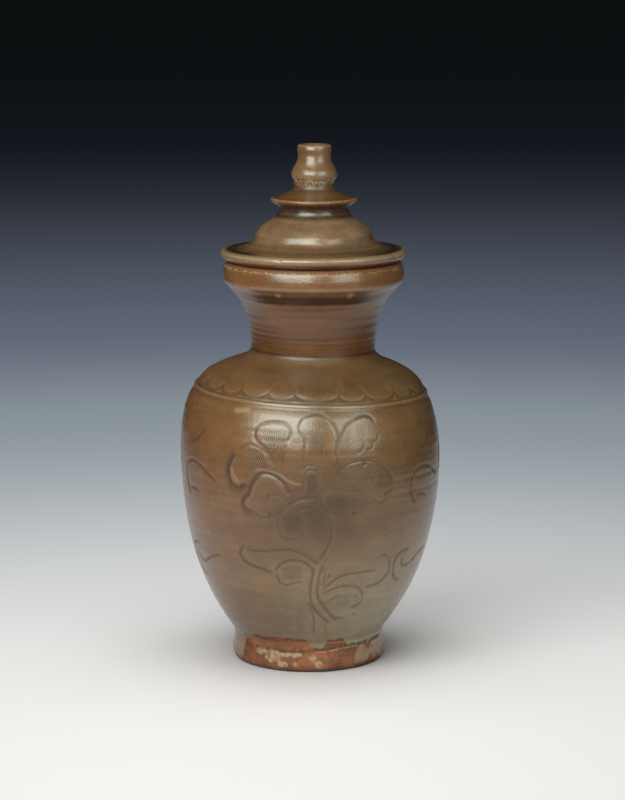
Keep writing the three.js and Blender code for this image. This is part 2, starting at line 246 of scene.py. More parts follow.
def buildFloor():
    half = studio["floorSize"] / 2
    corners = [(-half, -half, 0), (half, -half, 0), (half, half, 0), (-half, half, 0)]
    mesh = bpy.data.meshes.new("paleFloor")
    mesh.from_pydata(corners, [], [(0, 1, 2, 3)])
    floor = bpy.data.objects.new("paleFloor", mesh)
    bpy.context.scene.collection.objects.link(floor)
    floorPieces.objects.link(floor)
    material, tree, surface = newMaterial("palePaper")
    length = tree.nodes.new("ShaderNodeVectorMath")
    length.operation = "DISTANCE"
    tree.links.new(place(tree), length.inputs[0])
    length.inputs[1].default_value = (*studio["floorCentre"], 0)
    # Painted shade: the paper darkens and turns bluer with distance from the centre
    paper = tone(*studio["paperNear"])
    for start, end, further in studio["paperShadeBeyond"]:
        distance = rise(tree, length.outputs["Value"], start, end)
        paper = blendTone(tree, distance, paper, tone(*further))
    # painted shade to the front and sides
    axes = axesOf(tree, place(tree, (1, -1, 1)))
    sideways = timesPlus(tree, axes["Y"], studio["unseenWiden"], sums(tree, "ABSOLUTE", axes["X"]))
    outward = sums(tree, "MAXIMUM", axes["Y"], sideways)
    unseen = rise(tree, outward, *studio["unseen"])
    plug(tree, surface.inputs["Base Color"], stain(tree, paper, studio["unseenTone"], unseen))
    # painted light: the paper glows faintly
    surface.inputs["Emission Color"].default_value = tone(*studio["paperPaintedGlow"])
    surface.inputs["Emission Strength"].default_value = 1.0
    surface.inputs["Roughness"].default_value = studio["paperRoughness"]
    surface.inputs["Specular IOR Level"].default_value = studio["paperShine"]
    mesh.materials.append(material)


def softbox(name, lamp, lit):
    # An area light that lights only the pieces in one collection
    turn, tilt = math.radians(lamp["round"]), math.radians(lamp["up"])
    back = Vector((math.sin(turn) * math.cos(tilt), -math.cos(turn) * math.cos(tilt), math.sin(tilt)))
    data = bpy.data.lights.new(name, "AREA")
    data.shape = "RECTANGLE"
    data.size, data.size_y = lamp["size"]
    data.energy = lamp["power"]
    if lit is vasePieces:
        data.color = tone(*studio["lampTone"])[:3]
    light = bpy.data.objects.new(name, data)
    light.location = Vector((0, 0, studio["aim"])) + back * lamp["away"]
    light.rotation_mode = "QUATERNION"
    light.rotation_quaternion = back.to_track_quat("Z", "Y")
    light.visible_glossy = not lamp.get("soft", False)     # a soft one gives no highlight
    light.light_linking.receiver_collection = lit
    bpy.context.scene.collection.objects.link(light)


def buildStudio():
    buildFloor()
    for name, lamp in studio["vaseLights"].items():
        softbox(name, lamp, vasePieces)
    for name, lamp in studio["floorLights"].items():
        softbox(name, lamp, floorPieces)

    # Paler near the horizon, dark overhead
    world = bpy.data.worlds.new("studio")
    world.use_nodes = True
    bpy.context.scene.world = world
    tree = world.node_tree
    axes = axesOf(tree, tree.nodes.new("ShaderNodeTexCoord").outputs["Generated"])
    height = rise(tree, axes["Z"], *studio["horizon"])
    sky = blendTone(tree, height, tone(*studio["skyLow"]), tone(*studio["skyHigh"]))
    plug(tree, tree.nodes["Background"].inputs["Color"], sky)
    tree.nodes["Background"].inputs["Strength"].default_value = studio["skyStrength"]


buildStudio()
print("stage: camera, floor and lights")


# Turning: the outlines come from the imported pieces

turned = {
    "facets": 44,
    "onFacet": 0.01,       # how near to a facet's edge a corner lies, as a share of a facet
    "onAxis": 0.01,        # millimetres within which a point is on the axis
    "samePoint": 0.03,     # and within which two corners are one point of the outline
    "sameAngle": 0.0001,
    "mostFacets": 0.6,     # a turned corner comes back at more than this share of the facets
    "corner": 38,          # degrees that the outline turns by at a corner
    "soften": 0.6,         # millimetres that a corner is softened over
    "crisp": 48,           # degrees between faces above which an edge is shaded as an edge
    "outward": -0.2,       # a wall faces outwards above this, from 1 for outwards to -1 for inwards
}


def outlineOf(node):
    # The cut through a turned piece, as ordered (radius, height) points in millimetres
    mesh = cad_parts[node].data
    corners = np.array([vertex.co for vertex in mesh.vertices]) / mm
    facets = turned["facets"]
    radius, angle = np.hypot(corners[:, 0], corners[:, 1]), np.arctan2(corners[:, 1], corners[:, 0])
    places = np.round(np.column_stack([radius, corners[:, 2]]), 2)
    found, which = np.unique(places, axis=0, return_inverse=True)
    facet = angle * facets / (2 * math.pi)
    onFacet = np.abs(facet - np.round(facet)) < turned["onFacet"]
    pairs = np.unique(np.column_stack([which.ravel(), np.round(facet) % facets])[onFacet], axis=0)
    turns = np.bincount(pairs[:, 0].astype(int), minlength=len(found))

    # The turned outline comes back at most facets round the axis, and what is carved into it doesn't
    outline, row = [], np.full(len(found), -1)
    for i in np.argsort(-turns, kind="stable"):
        near = [k for k, point in enumerate(outline) if np.abs(point - found[i]).max() < turned["samePoint"]]
        if not near and (turns[i] > turned["mostFacets"] * facets or found[i, 0] < turned["onAxis"]):
            near = [len(outline)]
            outline.append(found[i])
        if near:
            row[i] = near[0]
    row = row[which.ravel()]
    links = {k: set() for k in range(len(outline))}
    for edge in mesh.edges:
        first, second = edge.vertices
        if min(row[first], row[second]) < 0 or row[first] == row[second]:
            continue
        central = min(radius[first], radius[second]) < turned["onAxis"]
        if central or abs(angle[first] - angle[second]) < turned["sameAngle"]:
            links[row[first]].add(row[second])
            links[row[second]].add(row[first])
    outline = np.array(outline)
    onAxis = [k for k in links if outline[k, 0] < turned["onAxis"]]
    path = [min(onAxis or links, key=lambda k: (outline[k, 1], -outline[k, 0]))]
    while len(path) < len(outline):
        onward = [k for k in links[path[-1]] if k not in path]
        if not onward:     # a cut that runs all the way round parts the outline here
            onward = [k for k in links if len(links[k]) < 2 and k not in path and k not in onAxis]
        if not onward:
            break
        path.append(min(onward, key=lambda k: np.hypot(*(outline[k] - outline[path[-1]]))))
    points = outline[path]
    following = np.roll(points, -1, axis=0)
    area = np.sum(points[:, 0] * following[:, 1] - following[:, 0] * points[:, 1])
    if area < 0:     # clay lies to the left of the way along the outline
        points = points[::-1]
    return points, not onAxis


def curveThrough(points, spacing):
    # A smooth curve through the points, at about the given spacing
    points = np.asarray(points, float)
    if len(points) < 3:
        count = max(1, round(float(np.linalg.norm(points[-1] - points[0])) / spacing))
        share = np.linspace(0, 1, count + 1)[:, None]
        return points[0] + (points[-1] - points[0]) * share
    gaps = np.linalg.norm(np.diff(points, axis=0), axis=1)
    slopes = np.diff(points, axis=0) / gaps[:, None]
    middle = (slopes[:-1] * gaps[1:, None] + slopes[1:] * gaps[:-1, None]) / (gaps[:-1] + gaps[1:])[:, None]
    first = 2 * slopes[0] - middle[0]
    last = 2 * slopes[-1] - middle[-1]
    tangents = np.vstack([first[None], middle, last[None]])
    runs = []
    for i, gap in enumerate(gaps):
        count = max(1, round(gap / spacing))
        t = (np.arange(count) / count)[:, None]
        runs.append(
            (1 + 2 * t) * (1 - t) ** 2 * points[i]
            + t * (1 - t) ** 2 * gap * tangents[i]
            + t * t * (3 - 2 * t) * points[i + 1]
            + t * t * (t - 1) * gap * tangents[i + 1]
        )
    return np.vstack(runs + [points[-1:]])


def fineOutline(node, piece):
    # The piece's outline with its facets smoothed away and its corners softened
    points, ring = outlineOf(node)
    before = points - np.roll(points, 1, axis=0)
    after = np.roll(points, -1, axis=0) - points
    turn = np.abs(np.arctan2(
        before[:, 0] * after[:, 1] - before[:, 1] * after[:, 0], np.sum(before * after, axis=1)
    ))
    sharp = turn > math.radians(turned["corner"])
    if ring:
        start = int(np.argmax(sharp))
        points, sharp = np.roll(points, -start, axis=0), np.roll(sharp, -start)
        points, sharp = np.vstack([points, points[:1]]), np.append(sharp, True)
    sharp[0] = sharp[-1] = True
    stops = np.flatnonzero(sharp)
    runs = []
    for first, last in zip(stops[:-1], stops[1:]):
        stretch = points[first:last + 1]
        hidden = stretch[-1, 1] < stretch[0, 1] - 1 and not piece.get("fineInside", False)
        base = stretch[0, 0] < turned["onAxis"] and stretch[0, 1] < piece.get("baseBelow", 0)
        run = curveThrough(stretch, piece["coarse"] if hidden or base else piece["fine"])
        runs.append(run[:-1])
    dense = np.vstack(runs + [points[-1:]])
    if ring:
        dense = dense[:-1]

    # Seams with the neighbours keep their exact corners
    keep = dense[:, 0] < turned["onAxis"]
    for level in piece.get("seams", []):
        keep |= np.abs(dense[:, 1] - level) < turned["onAxis"]
    longest = 4 * turned["soften"] + 2 * piece["fine"]
    for _ in range(piece["passes"]):
        previous, following = np.roll(dense, 1, axis=0), np.roll(dense, -1, axis=0)
        reach = np.linalg.norm(following - previous, axis=1)
        share = np.where(keep | (reach > longest), 0, 0.25)[:, None]
        dense = dense + share * (previous + following - 2 * dense)
    return dense, ring


# Lean and tilt of the real vase, which was not thrown quite true

wobble = {
    "levels": [0, 17, 60, 110, 145, 182, 233, 300],          # heights in millimetres
    "lean": [-1.2, -1.1, -0.4, 0.0, -0.3, 1.6, 1.9, 2.4],    # sideways shift at each
    "tiltLevels": [0, 40, 120, 160, 182, 205, 300],
    "tilt": [0, 0, 0.018, 0.035, 0.02, 0, 0],                # left side up, as a slope
}


def softStep(value):
    value = np.clip(value, 0, 1)
    return value * value * (3 - 2 * value)


def softBetween(levels, values, height):
    # Values at given levels, joined without kinks
    levels, values = np.array(levels, float), np.array(values, float)
    spot = np.clip(np.searchsorted(levels, height, side="right") - 1, 0, len(levels) - 2)
    share = softStep((height - levels[spot]) / (levels[spot + 1] - levels[spot]))
    return values[spot] + (values[spot + 1] - values[spot]) * share


def leanAt(height):
    return softBetween(wobble["levels"], wobble["lean"], height)


def tiltAt(height):
    return softBetween(wobble["tiltLevels"], wobble["tilt"], height)


def ripples(seed, theta, height, rounds, pitch, count=24):
    # Smooth hand-made unevenness between about -1 and 1, the same all the way round
    random = np.random.default_rng(seed)
    total = np.zeros(np.broadcast(theta, height).shape)
    for _ in range(count):
        turns = int(random.integers(0, rounds + 1))
        wave = 2 * math.pi / (pitch * random.uniform(0.7, 2.0))
        climb = random.choice([-1, 1])
        start = random.uniform(0, 2 * math.pi)
        total += np.cos(turns * theta + wave * height * climb + start)
    return total / math.sqrt(count)


def bell(value, centre, spread):
    # 1 at the centre, falling off smoothly to both sides
    return np.exp(-(((value - centre) / spread) ** 2))


def surfaceOf(node, piece):
    # Everything that carving needs: the outline, its normals, the angles round it, and blank marks
    outline, ring = fineOutline(node, piece)
    if ring:
        ahead, behind = np.roll(outline, -1, axis=0), np.roll(outline, 1, axis=0)
    else:
        ahead, behind = np.vstack([outline[1:], outline[-1:]]), np.vstack([outline[:1], outline[:-1]])
    run = ahead - behind
    run = run / np.maximum(np.linalg.norm(run, axis=1), 1e-9)[:, None]
    normals = np.column_stack([run[:, 1], -run[:, 0]])
    columns = piece["columns"]
    theta = (np.arange(columns) / columns * 2 - 1) * math.pi     # 0 faces the camera, + is to the right
    steps = np.linalg.norm(np.diff(outline, axis=0), axis=1)
    cut = np.zeros((len(outline), columns))
    kinds = ("pool", "thin", "rust", "buff", "cover", "crawl", "combTurn", "combMask")
    marks = {kind: np.zeros_like(cut) for kind in kinds}
    marks["cover"] += 1
    return {
        "ring": ring,
        "radius": outline[:, :1],
        "height": outline[:, 1:],
        "along": np.append(0, np.cumsum(steps))[:, None],
        "normals": normals,
        "theta": theta[None, :],
        "degrees": np.degrees(theta)[None, :],
        "outer": normals[:, :1] > turned["outward"],
        "cut": cut,
        "marks": marks,
    }


def layOn(surface, kind, level):
    # Raises one kind of mark to the given level where it is weaker
    surface["marks"][kind] = np.maximum(surface["marks"][kind], level)


def facing(surface, least):
    # Where the wall faces outwards by at least this much, from 1 for outwards to -1 for inwards
    return surface["normals"][:, :1] > least


def asideOf(surface, angle):
    # Millimetres round the wall from an angle
    return (surface["theta"] - math.radians(angle)) * surface["radius"]


def wander(surface, seed, rounds):
    # Unevenness that changes round the wall and not up it
    return ripples(seed, surface["theta"], 0 * surface["theta"], rounds, 1)


def skinOf(surface, piece):
    # The thin uneven layer that throwing takes off a wall: its depth, and waves of
    # seed, depth, most waves round, and millimetres from ripple to ripple
    depth = piece["skin"]
    for seed, swing, rounds, pitch in piece["waves"]:
        depth = depth + swing * ripples(seed, surface["theta"], surface["height"], rounds, pitch)
    return depth


def thinSkin(surface, piece, where=1):
    surface["cut"] += where * np.clip(skinOf(surface, piece), 0, None)


def ringMark(surface, rings):
    # How strongly each point belongs to any of the given rings: radius, height, spread, strength
    total = np.zeros_like(surface["cut"])
    for radius, height, spread, strength in rings:
        away = np.hypot(surface["radius"] - radius, surface["height"] - height)
        total = np.maximum(total, strength * bell(away, 0, spread))
    return total


def ringMarks(surface, piece):
    for kind, rings in piece["rings"].items():
        layOn(surface, kind, ringMark(surface, rings))


def topOf(node):
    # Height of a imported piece's top, where the next one is luted on
    return round(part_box(node)[1][2] / mm, 2)


seamFade = {"clear": 0.15, "over": 1.2}     # millimetres from a seam


def keepSeams(surface, levels):
    # Cuts fade out at the seams, so that neighbours still meet
    for level in levels:
        away = np.abs(surface["height"] - level) - seamFade["clear"]
        surface["cut"] *= softStep(away / seamFade["over"])


def buildPiece(name, body, surface, material):
    # Makes the closed, smooth mesh of a turned and carved piece and fits it into the frame
    radius = surface["radius"] - surface["cut"] * surface["normals"][:, :1]
    height = surface["height"] - surface["cut"] * surface["normals"][:, 1:]
    theta = surface["theta"]
    x = radius * np.sin(theta) + 0 * height
    y = -radius * np.cos(theta) + 0 * height
    z = height - tiltAt(height) * x
    x = x + leanAt(height)
    rows, columns = x.shape
    grid = np.stack([x, y, z], axis=-1) * mm
    onAxis = surface["radius"][:, 0] < turned["onAxis"]
    index = np.zeros((rows, columns), np.int64)
    spots, marks = [], {key: [] for key in surface["marks"]}
    count = 0
    for row in range(rows):
        if onAxis[row]:
            index[row] = count
            count += 1
            spots.append(grid[row].mean(axis=0, keepdims=True))
            for key, value in surface["marks"].items():
                marks[key].append(value[row, :1])
        else:
            index[row] = count + np.arange(columns)
            count += columns
            spots.append(grid[row])
            for key, value in surface["marks"].items():
                marks[key].append(value[row])
    faces = []
    last = rows if surface["ring"] else rows - 1
    for row in range(last):
        low, high = index[row], index[(row + 1) % rows]
        lowNext, highNext = np.roll(low, -1), np.roll(high, -1)
        if onAxis[row]:
            faces += np.column_stack([low, highNext, high]).tolist()
        elif onAxis[(row + 1) % rows]:
            faces += np.column_stack([low, lowNext, high]).tolist()
        else:
            faces += np.column_stack([low, lowNext, highNext, high]).tolist()
    mesh = bpy.data.meshes.new(name)
    mesh.from_pydata(np.vstack(spots).tolist(), [], faces)
    mesh.polygons.foreach_set("use_smooth", np.ones(len(mesh.polygons), bool))
    mesh.set_sharp_from_angle(angle=math.radians(turned["crisp"]))
    for key, value in marks.items():
        layer = mesh.attributes.new(key, "FLOAT", "POINT")
        layer.data.foreach_set("value", np.concatenate(value).astype(np.float32))
    mesh.materials.append(material)
    made = bpy.data.objects.new(name, mesh)
    bpy.context.scene.collection.objects.link(made)
    vasePieces.objects.link(made)
    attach(made, body)
    print("stage:", name, len(mesh.vertices), "points,", len(mesh.polygons), "faces")
    return made


# Knife cuts and combing, drawn on the unrolled wall in millimetres

knife = {
    "spacing": 0.5,              # millimetres between the points of a path
    "steepness": 0.17,           # depth of a cut as a share of its width
    "deepest": 0.6,
    "runOut": 3.0,
    "startDepth": 0.15,          # share of the depth at a cut's very end
    "pool": 0.4,                 # how dark the glaze pools in a cut, and more in a wide one
    "poolByWidth": 0.13,
    "deepestPool": 0.92,
    "reach": 2.2,                # this and the rest are shares of a cut's width
    "halfWidth": 0.65,
    "wallWidth": 0.4,
    "slopeWidth": 0.85,
    "bothCrest": (0.75, 0.3),    # how far out the thinned edge, also a painted glint, lies, and its spread
    "sideCrest": (0.62, 0.26),
}
comber = {
    "steps": 7,                  # in which the place in a patch is found
    "settled": 0.3,              # millimetres
    "startFade": (0.05, 0.2),
    "endFade": (0.05, 0.35),
    "wider": 0.2,
    "stopped": 1.5,              # how fully a knife cut's dark glaze ends the combing
}


def crossOf(first, second):
    return first[:, 0] * second[:, 1] - first[:, 1] * second[:, 0]


def pathDistance(path, across, up):
    # Signed distance to a path, + on its left, the distance along it, and its length
    steps = np.diff(path, axis=0)
    lengths = np.linalg.norm(steps, axis=1)
    travelled = np.append(0, np.cumsum(lengths))
    heading = np.vstack([steps, steps[-1:]]) / np.append(lengths, lengths[-1])[:, None]
    offset = np.stack([across, up], axis=-1)[:, None, :] - path[None]
    nearest = np.argmin(np.sum(offset ** 2, axis=2), axis=1)
    picked = offset[np.arange(len(across)), nearest]
    way = heading[nearest]
    side = crossOf(way, picked)
    along = np.sum(way * picked, axis=1)
    beyond = ((nearest == 0) & (along < 0)) | ((nearest == len(path) - 1) & (along > 0))
    side = np.where(beyond, np.hypot(side, along) * np.sign(side + 1e-9), side)
    return side, np.clip(travelled[nearest] + along, 0, travelled[-1]), travelled[-1]


def carve(layers, across, up, cut):
    # One pass of the knife
    standing, width, crestThin, spots = cut
    path = curveThrough(spots, knife["spacing"])
    margin = knife["reach"] * width + 1
    low, high = path.min(axis=0) - margin, path.max(axis=0) + margin
    near = (across > low[0]) & (across < high[0]) & (up > low[1]) & (up < high[1])
    if not near.any():
        return
    side, travelled, length = pathDistance(path, across[near], up[near])
    if standing == "right":
        side = -side
    fade = softStep(travelled / knife["runOut"] + knife["startDepth"])
    fade = fade * softStep((length - travelled) / knife["runOut"] + knife["startDepth"])
    if standing == "both":
        groove = 1 - np.abs(side) / (knife["halfWidth"] * width)
        out, spread = knife["bothCrest"]
        crest = bell(np.abs(side), out * width, spread * width)
    else:     # a steep wall under the standing edge, and a long slope away from it
        wall = 1 - side / (knife["wallWidth"] * width)
        groove = np.where(side > 0, wall, 1 + side / (knife["slopeWidth"] * width))
        out, spread = knife["sideCrest"]
        crest = bell(side, out * width, spread * width)
    groove = softStep(groove) * fade
    depth = min(knife["deepest"], knife["steepness"] * width)
    pool = min(knife["deepestPool"], knife["pool"] + knife["poolByWidth"] * width)
    thin = crest * fade * crestThin
    for kind, level in (("cut", groove * depth), ("pool", np.sqrt(groove) * pool), ("thin", thin)):
        layers[kind][near] = np.maximum(layers[kind][near], level)


def comb(layers, across, up, patch):
    # A patch of combed lines from one edge to another, fading at both ends
    lines, strong, (a, b), (d, c) = patch
    a, b, c, d = (np.array(corner, float) for corner in (a, b, c, d))
    spot = np.column_stack([across, up])
    t = np.full((len(spot), 1), 0.5)     # from the first line to the last
    s = np.full((len(spot), 1), 0.5)     # from where the lines start to where they end
    for _ in range(comber["steps"]):
        away = (1 - s) * ((1 - t) * a + t * b) + s * ((1 - t) * d + t * c) - spot
        alongT = (1 - s) * (b - a) + s * (c - d)
        alongS = (1 - t) * (d - a) + t * (c - b)
        scale = crossOf(alongT, alongS)
        scale = np.where(np.abs(scale) < 1e-6, 1e-6, scale)
        t = np.clip(t - (crossOf(away, alongS) / scale)[:, None], -1, 2)
        s = np.clip(s - (crossOf(alongT, away) / scale)[:, None], -1, 2)
    found = np.hypot(away[:, 0], away[:, 1]) < comber["settled"]
    t, s = t[:, 0], s[:, 0]
    edge = 0.5 / lines
    inside = softStep((t + edge) / (2 * edge)) * softStep((1 + edge - t) / (2 * edge))
    before, growing = comber["startFade"]
    after, fading = comber["endFade"]
    ends = softStep((s + before) / growing) * softStep((1 + after - s) / fading)
    strength = found * inside * ends * strong
    wider = (t > -3 * edge) & (t < 1 + 3 * edge)
    wider &= (s > -comber["wider"]) & (s < 1 + comber["wider"]) & (strength >= layers["combMask"])
    layers["combTurn"][wider] = (t * lines)[wider]
    layers["combMask"][wider] = strength[wider]


